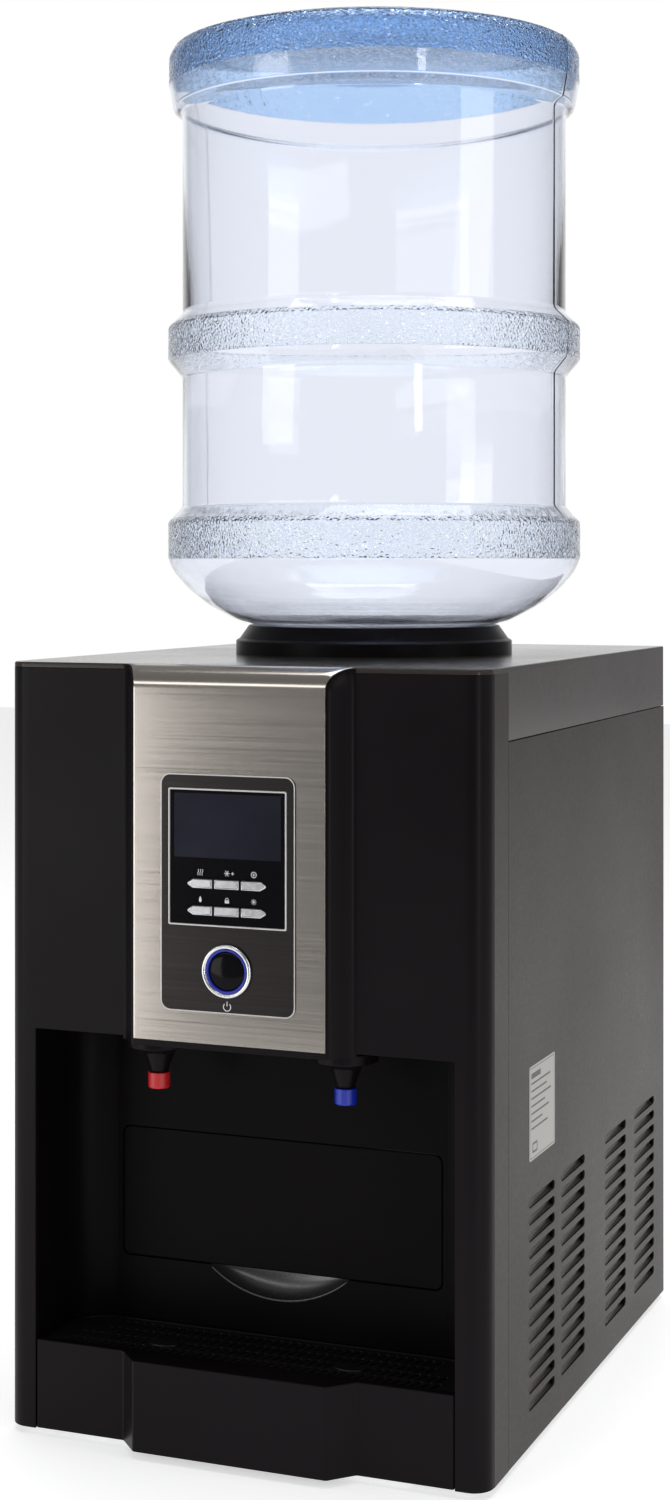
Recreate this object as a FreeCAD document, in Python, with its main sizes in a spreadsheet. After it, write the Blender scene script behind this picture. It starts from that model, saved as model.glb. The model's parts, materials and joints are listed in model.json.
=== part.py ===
import FreeCAD, Part
import math
import os
import re
import Sketcher

# Countertop water dispenser with an ice maker: +X right, -Y front, +Z up, millimetres.
# The origin is on the floor under the middle of the machine.

V = FreeCAD.Vector

DIMENSIONS = {
    # housing
    "half_wide": 150, "half_deep": 200, "base_z": 4, "top_z": 458, "cover": 3, "skirt_z": 416,
    "return_deep": 38.4, "bezel": 3, "sheet": 1.2, "corner": 12, "seam": 0.3,
    # middle module of the front
    "module_y": 214, "module_half": 59.5, "flank_half": 73, "module_base": 239, "fascia": 1,
    "fascia_base": 243, "bend": 13.5, "flare": 12, "plate_half": 41.7, "plate_base": 261,
    "plate_top": 396.5, "plate": 0.8, "plate_round": 6,
    # display and keys
    "frame_half": 36.8, "frame_base": 310, "frame_top": 388.5, "frame_line": 1.2, "lcd_half": 33,
    "lcd_base": 349, "lcd_top": 385.5, "key_wide": 15.4, "key_gap": 1.2, "key_high": 5.4,
    "key_upper": 334.3, "key_lower": 319, "key_face": 216.4, "key_back": 209.5, "slack": 0.3,
    "board_y": 205, "board": 1.6, "switch": 3,
    "power_z": 285.3, "chrome_outer": 15.3, "chrome_inner": 12.8, "glow_inner": 11.3,
    # alcove, drawer and tray
    "opening_half": 131, "opening_top": 241, "liner": 2, "liner_base": 8, "alcove_back": 140,
    "liner_corner": 25, "nozzle_x": 59, "nozzle_y": 181, "tip_z": 208, "tip_top": 217.5,
    "drawer_half": 103, "drawer_base": 94.5, "drawer_top": 173, "drawer_thick": 4,
    "drawer_round": 5, "scoop_radius": 69.1, "scoop_z": 146.5, "scoop_deep": 20,
    "bin_half": 95, "bin_base": 112, "bin_top": 168, "bin_back": 10, "bin_wall": 2,
    "tray_half": 130.5, "tray_top": 57, "tray_base": 4.5, "basin_base": 10.3, "basin_wall": 2.5,
    "grille_top": 55.5, "grille": 3, "slot_pitch": 8.4, "slot_wide": 3.6,
    # bottle and collar, on one upright axis
    "bottle_y": 20, "bottle_top": 854, "band": 135, "barrel": 125.6, "neck": 28, "neck_end": 366,
    "bottle_wall": 2, "cap_radius": 30.5, "cap_end": 362, "collar_radius": 90.5,
    # tanks
    "tank_radius": 72, "tank_base": 306, "tank_top": 438, "foam_radius": 90, "well_radius": 38,
    "probe_radius": 11, "rod_radius": 2.2, "float_offset": 54, "hot_x": -85, "hot_y": 135,
    "hot_radius": 45, "hot_base": 190, "hot_top": 300,
    # ice maker
    "ice_y": 60, "ice_z": 262, "trough": 38, "trough_half": 67, "pin": 3,
    # cooling machinery
    "compressor_x": -65, "compressor_y": 115, "compressor_radius": 58, "fan_y": 110, "fan_z": 80,
    "fan_radius": 54, "core_x": 118, "core_thick": 22, "core_front": 40, "core_back": 180,
    "core_base": 12, "core_top": 150,
    # back
    "rear_y": 217, "drain_z": 40, "drain_radius": 6,
}

doc = FreeCAD.newDocument("dispenser")
sheet = doc.addObject("Spreadsheet::Sheet", "dims")
for row, (alias, number) in enumerate(DIMENSIONS.items(), 1):
    sheet.set(f"A{row}", str(number))
    sheet.setAlias(f"A{row}", alias)
doc.recompute()

sub_parts = []
PLANES = {"XY": ("XY_Plane", 1), "XZ": ("XZ_Plane", -1), "YZ": ("YZ_Plane", 1)}


def bound(formula):
    """The formula with each dimension's name bound to its cell."""
    return re.sub(r"[a-z][a-z_]+", lambda word: "dims." + word.group(), str(formula))


def value(formula):
    """The formula's number."""
    return float(sheet.evalExpression(bound(formula)))


def rectangle(x0, x1, y0, y1):
    """Corner formulas of an upright rectangle."""
    return [(x0, y0), (x1, y0), (x1, y1), (x0, y1)]


def both_sides(x0, x1, y0, y1):
    """A rectangle and its mirror image about the middle."""
    return [rectangle(x0, x1, y0, y1), rectangle(f"-({x1})", f"-({x0})", y0, y1)]


def circle(x, y, radius):
    """Centre and radius formulas of a circle."""
    return ("circle", x, y, radius)


def arc(x, y, radius, start, end, steps=8):
    """Points along an arc, as formulas of its centre and radius; angles in degrees."""
    turns = [math.radians(start + (end - start) * step / steps) for step in range(steps + 1)]
    return [(f"{x} + ({radius})*{math.cos(turn):.5f}", f"{y} + ({radius})*{math.sin(turn):.5f}")
            for turn in turns]


def tub(half, front, back, radius):
    """Outline with a straight front edge and two rounded rear corners."""
    y = f"({back}) - ({radius})"
    right = arc(f"({half}) - ({radius})", y, radius, 0, 90)
    left = arc(f"({radius}) - ({half})", y, radius, 90, 180)
    return [(f"-({half})", front), (half, front)] + right + left


def constrain(sketch, kind, geometry, point, formula):
    """Ties one coordinate or radius in a sketch to the sheet."""
    if kind == "Radius":
        rule = Sketcher.Constraint(kind, geometry, value(formula))
    else:
        rule = Sketcher.Constraint(kind, -1, 1, geometry, point, value(formula))
    index = sketch.addConstraint(rule)
    sketch.setExpression(f"Constraints[{index}]", bound(formula))


def draw(sketch, loops):
    """Draws circles and closed polygons whose points are formulas."""
    for loop in loops:
        first = sketch.GeometryCount
        if loop[0] == "circle":
            _, x, y, radius = loop
            centre = V(value(x), value(y), 0)
            sketch.addGeometry(Part.Circle(centre, V(0, 0, 1), value(radius)))
            constrain(sketch, "DistanceX", first, 3, x)
            constrain(sketch, "DistanceY", first, 3, y)
            constrain(sketch, "Radius", first, 0, radius)
            continue
        corners = [V(value(x), value(y), 0) for x, y in loop]
        count = len(corners)
        for i in range(count):
            sketch.addGeometry(Part.LineSegment(corners[i], corners[(i + 1) % count]))
        for i in range(count):
            after = first + (i + 1) % count
            sketch.addConstraint(Sketcher.Constraint("Coincident", first + i, 2, after, 1))
        for i, (x, y) in enumerate(loop):
            constrain(sketch, "DistanceX", first + i, 1, x)
            constrain(sketch, "DistanceY", first + i, 1, y)


class Piece:
    """A sub-part made as one PartDesign body."""

    def __init__(self, name, x="0", y="0"):
        self.body = doc.addObject("PartDesign::Body", name)
        self.body.Label = name
        self.body.setExpression(".Placement.Base.x", bound(x))
        self.body.setExpression(".Placement.Base.y", bound(y))
        sub_parts.append(self.body)

    def sketch(self, plane, place, loops):
        """A sketch on one of the body's own planes, moved to a coordinate."""
        role, sign = PLANES[plane]
        support = [item for item in self.body.Origin.OriginFeatures if item.Role == role][0]
        sketch = self.body.newObject("Sketcher::SketchObject", self.body.Name + "_sketch")
        sketch.AttachmentSupport = (support, [""])
        sketch.MapMode = "FlatFace"
        sketch.setExpression(".AttachmentOffset.Base.z", bound(f"{sign}*({place})"))
        draw(sketch, loops)
        return sketch

    def pad(self, plane, low, high, *loops):
        """Adds material between two coordinates across a plane."""
        sketch = self.sketch(plane, high if plane == "XZ" else low, loops)
        pad = self.body.newObject("PartDesign::Pad", self.body.Name + "_pad")
        pad.Profile = sketch
        pad.setExpression("Length", bound(f"({high}) - ({low})"))
        doc.recompute()
        return pad

    def cut(self, plane, low, high, *loops):
        """Removes material between two coordinates across a plane."""
        before = self.body.Shape.Volume
        sketch = self.sketch(plane, low if plane == "XZ" else high, loops)
        pocket = self.body.newObject("PartDesign::Pocket", self.body.Name + "_pocket")
        pocket.Profile = sketch
        pocket.setExpression("Length", bound(f"({high}) - ({low})"))
        doc.recompute()
        if not pocket.Shape.Volume < before - 1e-3:
            raise RuntimeError(f"{pocket.Name} removes nothing")
        return pocket

    def turn(self, points):
        """Adds a solid of revolution about the body's upright axis, from radius and height."""
        sketch = self.sketch("XZ", "0", [points])
        revolution = self.body.newObject("PartDesign::Revolution", self.body.Name + "_turn")
        revolution.Profile = sketch
        revolution.ReferenceAxis = (sketch, ["V_Axis"])
        revolution.Angle = 360
        doc.recompute()
        return revolution

    def round(self, radius, keep):
        """Fillets the straight edges whose middle point passes the test."""
        base = self.body.Tip
        names = []
        for number, edge in enumerate(base.Shape.Edges, 1):
            middle = edge.valueAt((edge.FirstParameter + edge.LastParameter) / 2)
            along = (edge.Vertexes[-1].Point - edge.Vertexes[0].Point)
            if along.Length > 0 and keep(middle, along.normalize()):
                names.append(f"Edge{number}")
        if not names:
            raise RuntimeError(f"no edge of {self.body.Name} to round")
        fillet = self.body.newObject("PartDesign::Fillet", self.body.Name + "_fillet")
        fillet.Base = (base, names)
        fillet.setExpression("Radius", bound(radius))
        doc.recompute()
        return fillet

    def repeat(self, feature, axis, length, count):
        """Repeats a feature in a straight row along one of the body's axes."""
        row = self.body.newObject("PartDesign::LinearPattern", self.body.Name + "_row")
        row.Originals = [feature]
        direction = [item for item in self.body.Origin.OriginFeatures if item.Role == axis][0]
        row.Direction = (direction, [""])
        row.setExpression("Length", bound(length))
        row.Occurrences = count
        self.body.Tip = row
        doc.recompute()
        return row


def near(a, b):
    return abs(a - b) < 0.01


def upright_at(x, y):
    """Test for upright edges at plus and minus x, and y."""
    side, depth = value(x), value(y)
    return lambda middle, along: (abs(along.z) > 0.99 and near(abs(middle.x), side)
                                  and near(middle.y, depth))


def box(name, x0, x1, y0, y1, z0, z1):
    """A Part box between coordinate formulas."""
    item = doc.addObject("Part::Box", name)
    for size, place, low, high in (("Length", "x", x0, x1), ("Width", "y", y0, y1),
                                   ("Height", "z", z0, z1)):
        item.setExpression(size, bound(f"({high}) - ({low})"))
        item.setExpression(f".Placement.Base.{place}", bound(low))
    return item


def cylinder(name, x, y, z, radius, length, along="z"):
    """A Part cylinder whose first end's centre is at x, y, z."""
    item = doc.addObject("Part::Cylinder", name)
    turn = {"x": (V(0, 1, 0), 90), "y": (V(1, 0, 0), -90), "z": (V(0, 0, 1), 0)}[along]
    item.Placement = FreeCAD.Placement(V(0, 0, 0), FreeCAD.Rotation(*turn))
    item.setExpression("Radius", bound(radius))
    item.setExpression("Height", bound(length))
    for place, formula in (("x", x), ("y", y), ("z", z)):
        item.setExpression(f".Placement.Base.{place}", bound(formula))
    return item


def kept(item, label):
    """Marks an object as a sub-part."""
    item.Label = label
    sub_parts.append(item)
    return item


def joined(name, items, kind="Part::MultiFuse"):
    """A fusion or a compound of Part objects as one sub-part."""
    whole = doc.addObject(kind, name)
    if kind == "Part::Compound":
        whole.Links = items
    else:
        whole.Shapes = items
    return kept(whole, name)


# ---- housing ----

def front_bezel():
    """Moulded front frame: side returns, columns and the swelling middle module."""
    piece = Piece("front_bezel")
    back = "return_deep - half_deep"
    face, inside = "-half_deep", "bezel - half_deep"
    module = "fascia - module_y"
    piece.pad("XY", "base_z", "top_z - cover", [
        ("-half_wide", back), ("-half_wide", face), ("-flank_half", face),
        ("-module_half", module), ("module_half", module), ("flank_half", face),
        ("half_wide", face), ("half_wide", back)])
    piece.round("corner", upright_at("half_wide", "-half_deep"))
    turn_y, turn_radius = "corner - half_deep", "corner - bezel"
    left = arc("(corner - half_wide)", turn_y, turn_radius, 180, 270)
    right = arc("(half_wide - corner)", turn_y, turn_radius, 270, 360)
    piece.cut("XY", "base_z - 1", "top_z", [("bezel - half_wide", f"{back} + 1")] + left + [
        ("2.5 - flank_half", inside), ("2 - module_half", f"{module} + bezel"),
        ("module_half - 2", f"{module} + bezel"), ("flank_half - 2.5", inside)]
        + right + [("half_wide - bezel", f"{back} + 1")])
    piece.cut("XZ", f"{face} - 1", f"{inside} + 1",
              rectangle("-opening_half", "opening_half", "base_z - 1", "opening_top"))
    piece.cut("XZ", "-module_y - 1", f"{inside} + 1",
              rectangle("-flank_half - 1", "flank_half + 1", "base_z - 1", "module_base"))
    floor = [("-flank_half", face), ("-module_half", module), ("module_half", module),
             ("flank_half", face), ("flank_half - 2.5", inside), ("2.5 - flank_half", inside)]
    piece.pad("XY", "module_base", "opening_top", floor)
    piece.pad("XY", "top_z - cover - 18", "top_z - cover", floor)
    slope = [("-module_y - 1", "top_z - 18"), (f"{face} - 2", "top_z - cover + 1"),
             ("-module_y - 1", "top_z - cover + 1")]
    piece.cut("YZ", "-flank_half - 1", "flank_half + 1", slope)
    piece.cut("XZ", "-module_y - 1", "5 - module_y",
              rectangle("-plate_half - 3", "plate_half + 3", "plate_base - 5", "plate_top + 5"))


def fascia_openings():
    """Holes for the display frame and the power button, shared by fascia and plate."""
    frame = rectangle("-frame_half - 0.1", "frame_half + 0.1", "frame_base - 0.1", "frame_top + 0.1")
    return frame, circle("0", "power_z", "chrome_outer + 0.1")


def steel_fascia():
    """Steel sheet over the middle module, bent back at the top and flared at both sides."""
    piece = Piece("steel_fascia")
    front, back = "-module_y", "fascia - module_y"
    piece.pad("YZ", "-module_half - flare", "module_half + flare", [
        (front, "fascia_base"), (front, "top_z"), ("-half_deep - 0.05", "top_z"),
        ("-half_deep - 0.05", "top_z - fascia"), (back, "top_z - fascia"), (back, "fascia_base")])
    top = value("top_z")
    piece.round("bend", lambda middle, along: abs(along.x) > 0.99 and near(middle.z, top)
                and near(middle.y, -value("module_y")))
    piece.round("bend - fascia", lambda middle, along: abs(along.x) > 0.99
                and near(middle.z, value("top_z - fascia")) and near(middle.y, value(back)))
    for sign in ("", "-"):
        curve = arc("(module_half + flare)", "(top_z - flare)", "flare", 90, 180)
        outline = [(f"{sign}({x})", z) for x, z in curve]
        outline.append((f"{sign}(module_half)", "fascia_base - 1"))
        outline.append((f"{sign}(module_half + flare + 1)", "fascia_base - 1"))
        outline.append((f"{sign}(module_half + flare + 1)", "top_z"))
        piece.cut("XZ", "-module_y - 1", "1 - half_deep", outline)
    piece.cut("XZ", "-module_y - 1", "2 - module_y", *fascia_openings())


def control_panel():
    """Dark plate, display frame, black window and screen."""
    front = "-module_y - plate"
    piece = Piece("control_plate")
    piece.pad("XZ", front, "-module_y", rectangle("-plate_half", "plate_half", "plate_base", "plate_top"))
    piece.round("plate_round", lambda middle, along: abs(along.y) > 0.99)
    piece.cut("XZ", f"{front} - 1", "1 - module_y", *fascia_openings())

    inner_x, low, high = "frame_half - frame_line", "frame_base + frame_line", "frame_top - frame_line"
    frame = Piece("display_frame")
    frame.pad("XZ", f"{front} - 0.5", "fascia - module_y",
              rectangle("-frame_half", "frame_half", "frame_base", "frame_top"),
              rectangle(f"-({inner_x})", inner_x, low, high))

    window = Piece("display_window")
    window.pad("XZ", f"{front} - 0.2", "fascia - module_y",
               rectangle(f"-({inner_x})", inner_x, low, high),
               rectangle("-lcd_half", "lcd_half", "lcd_base", "lcd_top"))
    window.cut("XZ", f"{front} - 1", "2 - module_y", *[
        rectangle(f"{x0} - slack", f"{x1} + slack", f"{z} - key_high/2 - slack",
                  f"{z} + key_high/2 + slack")
        for x0, x1, z in key_places().values()])

    screen = Piece("lcd_screen")
    screen.pad("XZ", f"{front} - 0.2", "2.5 - module_y",
               rectangle("-lcd_half", "lcd_half", "lcd_base", "lcd_top"))


def key_places():
    """Left edge, right edge and middle height of each keypad key."""
    names = (("heat_key", "ice_key", "chill_key"), ("hot_key", "lock_key", "cool_key"))
    places = {}
    for row, height in zip(names, ("key_upper", "key_lower")):
        for column, name in enumerate(row, -1):
            middle = f"{column}*(key_wide + key_gap)"
            places[name] = (f"{middle} - key_wide/2", f"{middle} + key_wide/2", height)
    return places


def keys():
    """Six keypad keys, the power button and its two rings."""
    for name, (x0, x1, height) in key_places().items():
        key = Piece(name)
        key.pad("XZ", "-key_face", "-key_back",
                rectangle(x0, x1, f"{height} - key_high/2", f"{height} + key_high/2"))
    back = "fascia - module_y"
    chrome = Piece("power_ring_chrome")
    chrome.pad("XZ", "-rear_y", back, circle("0", "power_z", "chrome_outer"),
               circle("0", "power_z", "chrome_inner"))
    glow = Piece("power_ring_light")
    glow.pad("XZ", "-key_face", back, circle("0", "power_z", "chrome_inner - 0.05"),
             circle("0", "power_z", "glow_inner"))
    button = Piece("power_button")
    button.pad("XZ", "-key_face", "-key_back", circle("0", "power_z", "glow_inner - slack"))


def control_board():
    """Circuit board with one tact switch behind each key."""
    piece = Piece("control_board")
    piece.pad("XZ", "-board_y", "board - board_y",
              rectangle("1.7 - plate_half", "plate_half - 1.7", "plate_base", "plate_top"))
    middles = [(f"({x0} + {x1})/2", height) for x0, x1, height in key_places().values()]
    middles.append(("0", "power_z"))
    piece.pad("XZ", "-board_y - switch", "-board_y", *[
        rectangle(f"{x} - 2.5", f"{x} + 2.5", f"{height} - 2.5", f"{height} + 2.5")
        for x, height in middles])


def dispensing_alcove():
    """Liner of the alcove, with the drawer's hole and a finger scoop in its back wall."""
    piece = Piece("dispensing_alcove")
    mouth = "bezel - half_deep"
    piece.pad("XY", "liner_base", "opening_top + liner",
              tub("opening_half + liner", mouth, "liner - alcove_back", "liner_corner + liner"))
    piece.cut("XY", "liner_base + liner", "opening_top",
              tub("opening_half", f"{mouth} - 1", "-alcove_back", "liner_corner"))
    edge = "drawer_base - slack"
    piece.cut("XZ", "-alcove_back - 1", "liner - alcove_back + 1",
              rectangle("-drawer_half - slack", "drawer_half + slack", edge, "drawer_top + slack"))

    def crescent(radius, top):
        reach = math.degrees(math.acos(value(f"(scoop_z - ({top}))/({radius})")))
        return arc("0", "scoop_z", radius, 270 - reach, 270 + reach, 14)

    piece.pad("XZ", "-alcove_back", "scoop_deep + liner - alcove_back",
              crescent("scoop_radius + liner", edge))
    piece.cut("XZ", "-alcove_back - 1", "scoop_deep - alcove_back", crescent("scoop_radius", edge))
    piece.cut("XY", "opening_top - 1", "opening_top + liner + 1",
              circle("nozzle_x", "-nozzle_y", "6"), circle("-nozzle_x", "-nozzle_y", "6"))


def taps():
    """Hot and cold nozzles with coloured tips, and the valve above each."""
    valves = []
    for name, side in (("hot", "-nozzle_x"), ("cold", "nozzle_x")):
        nozzle = Piece(f"{name}_nozzle", side, "-nozzle_y")
        nozzle.turn([("3", "tip_top"), ("5", "tip_top"), ("9.5", "230"), ("18.8", "233"),
                     ("18.8", "module_base"), ("12", "module_base"), ("12", "opening_top"),
                     ("5.7", "opening_top"), ("5.7", "250"), ("3", "250")])
        tip = Piece(f"{name}_nozzle_tip", side, "-nozzle_y")
        tip.turn([("3", "tip_z"), ("5.8", "tip_z"), ("6.45", "tip_z + 0.7"), ("6.45", "tip_top"),
                  ("3", "tip_top")])
        case = box("case", f"{side} - 12", f"{side} + 12", "-nozzle_y - 12", "12 - nozzle_y", "250", "272")
        coil = cylinder("coil", side, "-nozzle_y", "272", "9", "18")
        valves.extend([case, coil])
    joined("tap_valves", valves)


def panels():
    """Side panels with four columns of vents, back panel, top cover and base pan."""
    front = "return_deep - half_deep + slack"
    columns = (("-122", "-70"), ("-56", "-4"), ("44", "96"), ("118", "172"))
    for name, x0, x1 in (("side_panel_left", "-half_wide", "sheet - half_wide"),
                         ("side_panel_right", "half_wide - sheet", "half_wide")):
        panel = Piece(name)
        panel.pad("YZ", x0, x1, rectangle(front, "half_deep", "base_z", "skirt_z - seam"))
        slots = panel.cut("YZ", f"{x0} - 1", f"{x1} + 1", *[
            rectangle(y0, y1, "24.4", "29.9") for y0, y1 in columns])
        panel.repeat(slots, "Z_Axis", "9.8*12", 13)

    back = Piece("back_panel")
    back.pad("XZ", "half_deep - sheet", "half_deep",
             rectangle("0.3 + sheet - half_wide", "half_wide - sheet - 0.3", "base_z",
                       "skirt_z - seam"))
    back.cut("XZ", "half_deep - 3", "half_deep + 1", rectangle("81.5", "110.5", "19.5", "48.5"),
             circle("-60", "drain_z", "drain_radius + 1"),
             circle("-100", "drain_z", "drain_radius + 1"))
    vents = back.cut("XZ", "half_deep - 3", "half_deep + 1", rectangle("-70", "70", "180", "184"))
    back.repeat(vents, "Z_Axis", "12*12", 13)

    cover = Piece("top_cover")
    cover.pad("XY", "skirt_z + seam", "top_z",
              rectangle("-half_wide", "half_wide", "-half_deep", "half_deep"))
    cover.round("1.4", lambda middle, along: abs(along.x) > 0.99 and near(middle.y, -200)
                and near(middle.z, value("top_z")))
    cover.cut("XY", "skirt_z", "top_z - cover", rectangle(
        "sheet - half_wide", "half_wide - sheet", "-half_deep - 1", "half_deep - sheet"))
    cover.cut("XY", "skirt_z", "top_z - cover", rectangle(
        "-half_wide - 1", "half_wide + 1", "-half_deep - 1", front))
    cover.cut("XY", "top_z - cover - 1", "top_z + 1", circle("0", "bottle_y", "80"))

    pan = Piece("base_pan")
    pan.pad("XY", "base_z", "base_z + 1.5", [
        ("corner - half_wide", "3.5 - half_deep"), ("half_wide - corner", "3.5 - half_deep"),
        ("half_wide - 3.5", "corner - half_deep"), ("half_wide - 3.5", "half_deep - 1.5"),
        ("3.5 - half_wide", "half_deep - 1.5"), ("3.5 - half_wide", "corner - half_deep")])
    pan.pad("XY", "base_z + 1.5", "base_z + 12", *both_sides(
        "half_wide - 5", "half_wide - 3.5", "-160", "half_deep - 1.5"))


def small_outside_pieces():
    """Feet, label, back spacers, screws, power inlet, drain spigots and their plugs."""
    corners = [(x, y) for x in ("-125", "125") for y in ("-170", "172")]
    joined("rubber_feet", [cylinder("foot", x, y, "0", "14", "base_z") for x, y in corners],
           "Part::Compound")
    kept(box("label", "half_wide", "half_wide + 0.15", "-122", "-70", "169", "224"), "rating_label")
    spots = [(x, z) for x in ("-110", "98") for z in ("120", "388")]
    joined("rear_spacers", [box("spacer", x, f"{x} + 12", "half_deep", "rear_y", z, f"{z} + 12")
                            for x, z in spots], "Part::Compound")
    heads = [(x, z) for x in ("-142", "142") for z in ("30", "220", "405")]
    joined("case_screws", [cylinder("screw", x, "half_deep", z, "3.5", "1.8", "y")
                           for x, z in heads], "Part::Compound")

    inlet = Piece("power_inlet")
    inlet.pad("XZ", "182", "half_deep", rectangle("82", "110", "20", "48"))
    inlet.pad("XZ", "half_deep", "half_deep + 2", rectangle("79", "113", "17", "51"))
    inlet.cut("XZ", "184", "half_deep + 3", rectangle("85", "107", "25", "43"))
    inlet.pad("XZ", "183", "196", *[rectangle(f"{x} - 1", f"{x} + 1", "32", "36")
                                    for x in ("90", "96", "102")])

    tubes = []
    for name, x in (("cold", "-60"), ("hot", "-100")):
        tubes.append(cylinder("tube", x, "190", "drain_z", "drain_radius", "20", "y"))
        plug = Piece(f"drain_plug_{name}")
        plug.pad("XZ", "half_deep + 3", "half_deep + 14", circle(x, "drain_z", "9"))
        plug.cut("XZ", "half_deep + 2", "half_deep + 11", circle(x, "drain_z", "drain_radius + slack"))
    joined("drain_spigots", tubes, "Part::Compound")


# ---- drawer and tray ----

def ice_drawer():
    """Drawer front and the ice bin behind it, with the rails it runs on."""
    front = Piece("drawer_front")
    front.pad("XZ", "-alcove_back", "drawer_thick - alcove_back",
              rectangle("-drawer_half", "drawer_half", "drawer_base", "drawer_top"))
    front.round("drawer_round", lambda middle, along: abs(along.y) > 0.99)

    tub = Piece("ice_bin")
    tub_front = "drawer_thick - alcove_back"
    tub.pad("XY", "bin_base", "bin_top", rectangle("-bin_half", "bin_half", tub_front, "-bin_back"))
    tub.cut("XY", "bin_base + bin_wall", "bin_top + 1", rectangle(
        "bin_wall - bin_half", "bin_half - bin_wall", f"{tub_front} + bin_wall", "-bin_back - bin_wall"))
    tub.pad("XY", "121.3", "123.3", *both_sides("bin_half", "bin_half + 6", "-130", "-12"))

    rails = []
    for x0, x1, leg in (("97", "104", "104"), ("-104", "-97", "-106")):
        shelf = box("shelf", x0, x1, "liner - alcove_back + 3", "-6", "118", "121")
        wall = box("wall", leg, f"{leg} + 2", "liner - alcove_back", "-6", "118", "130")
        rail = doc.addObject("Part::MultiFuse", "rail")
        rail.Shapes = [shelf, wall]
        rails.append(rail)
    joined("drawer_rails", rails, "Part::Compound")


def drip_tray():
    """Catch tray with a swelling front, and the slotted grille that lies in it."""
    tray = Piece("drip_tray")
    back = "-alcove_back - 0.6"
    tray.pad("XY", "basin_base", "tray_top", tub("tray_half", "bezel - half_deep", back, "liner_corner"))
    tray.pad("XY", "tray_base", "tray_top", [
        ("-tray_half", "bezel - half_deep"), ("-tray_half", "-half_deep"), ("-flank_half", "-half_deep"),
        ("-60", "-module_y"), ("60", "-module_y"), ("flank_half", "-half_deep"),
        ("tray_half", "-half_deep"), ("tray_half", "bezel - half_deep")])
    ledge = "grille_top - grille - slack"
    rim_x, rim_back, rim_front = "tray_half - 2.5", f"{back} - 2.5", "6 - half_deep"
    tray.cut("XY", ledge, "tray_top + 1", tub(rim_x, rim_front, rim_back, "liner_corner - 2.5"))
    tray.cut("XY", "basin_base + basin_wall", ledge,
             tub("tray_half - 6.5", "10 - half_deep", f"{back} - 6.5", "liner_corner - 6.5"))
    tray.cut("XY", "tray_base - 1", "tray_top - 3", [
        ("-68", "0.5 - half_deep"), ("-57.5", "2.5 - module_y"), ("57.5", "2.5 - module_y"),
        ("68", "0.5 - half_deep")])

    grille = Piece("drip_grille")
    grille.pad("XY", "grille_top - grille", "grille_top",
               tub("tray_half - 2.9", f"{rim_front} + 0.4", f"{rim_back} - 0.4", "liner_corner - 2.9"))
    rows = []
    for low in (-189, -177, -165, -153):
        rows.append([("-13.5*slot_pitch - 3", f"{low}"), ("slot_wide - 13.5*slot_pitch - 3", f"{low}"),
                     ("slot_wide - 13.5*slot_pitch + 1", f"{low + 8}"),
                     ("-13.5*slot_pitch + 1", f"{low + 8}")])
    for row in rows:
        shifted = 3 if row is rows[-1] else 0
        first = [(f"{x} + {shifted}*slot_pitch", y) for x, y in row]
        slot = grille.cut("XY", "grille_top - grille - 1", "grille_top + 1", first)
        grille.repeat(slot, "X_Axis", f"{27 - 2 * shifted}*slot_pitch", 28 - 2 * shifted)


# ---- bottle, collar and tanks ----

def bottle():
    """Blown bottle standing on its neck, with its cap, and the collar that carries it.

    The neck with the flat of the shoulder is one piece and the barrel another, one wall thick.
    """
    outer = [("neck", "neck_end"), ("neck", "462"), ("40", "468"), ("70", "474.4"), ("81", "476.6"),
             ("88.7", "479"), ("108", "489"), ("121.7", "500"), ("132.4", "512"), ("band", "520"),
             ("band", "543"), ("barrel", "553"), ("barrel", "638"), ("band", "649"),
             ("band", "670"), ("barrel", "679"), ("barrel", "809"), ("131.5", "813"),
             ("134.5", "829"), ("134.5", "bottle_top - 8"), ("132", "bottle_top - 3"),
             ("126", "bottle_top"), ("108", "bottle_top"), ("96", "bottle_top - 8"),
             ("0", "bottle_top - 12")]
    points = [V(value(radius), value(height), 0) for radius, height in outer]
    inner = []
    for i, (radius, height) in enumerate(outer):
        before = points[max(i - 1, 0)]
        after = points[min(i + 1, len(points) - 1)]
        run = (after - before).normalize()
        if i == 0 or i == len(outer) - 1:
            shift = (-1, 0) if i == 0 else (0, -1)
        else:
            shift = (-run.y, run.x)
        inner.append((f"{radius} + bottle_wall*{shift[0]:.3f}", f"{height} + bottle_wall*{shift[1]:.3f}"))
    joint = outer.index(("88.7", "479"))
    neck = Piece("bottle_neck", "0", "bottle_y")
    neck.turn(outer[:joint + 1] + inner[joint::-1])
    shell = Piece("bottle_shell", "0", "bottle_y")
    shell.turn(outer[joint:] + inner[:joint - 1:-1])
    cap = Piece("bottle_cap", "0", "bottle_y")
    cap.turn([("12.5", "cap_end"), ("cap_radius", "cap_end"), ("cap_radius", "cap_end + 30"),
              ("neck + slack", "cap_end + 30"), ("neck + slack", "neck_end"), ("12.5", "neck_end")])

    collar = Piece("bottle_collar", "0", "bottle_y")
    collar.turn([("collar_radius", "top_z"), ("collar_radius", "top_z + 8"), ("88", "top_z + 9.5"),
                 ("82", "top_z + 18"), ("70", "473.6"), ("33", "450"), ("33", "441"), ("36", "441"),
                 ("36", "448.2"), ("71", "470.4"), ("79", "470.4"), ("86", "463"), ("86", "top_z")])


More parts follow.
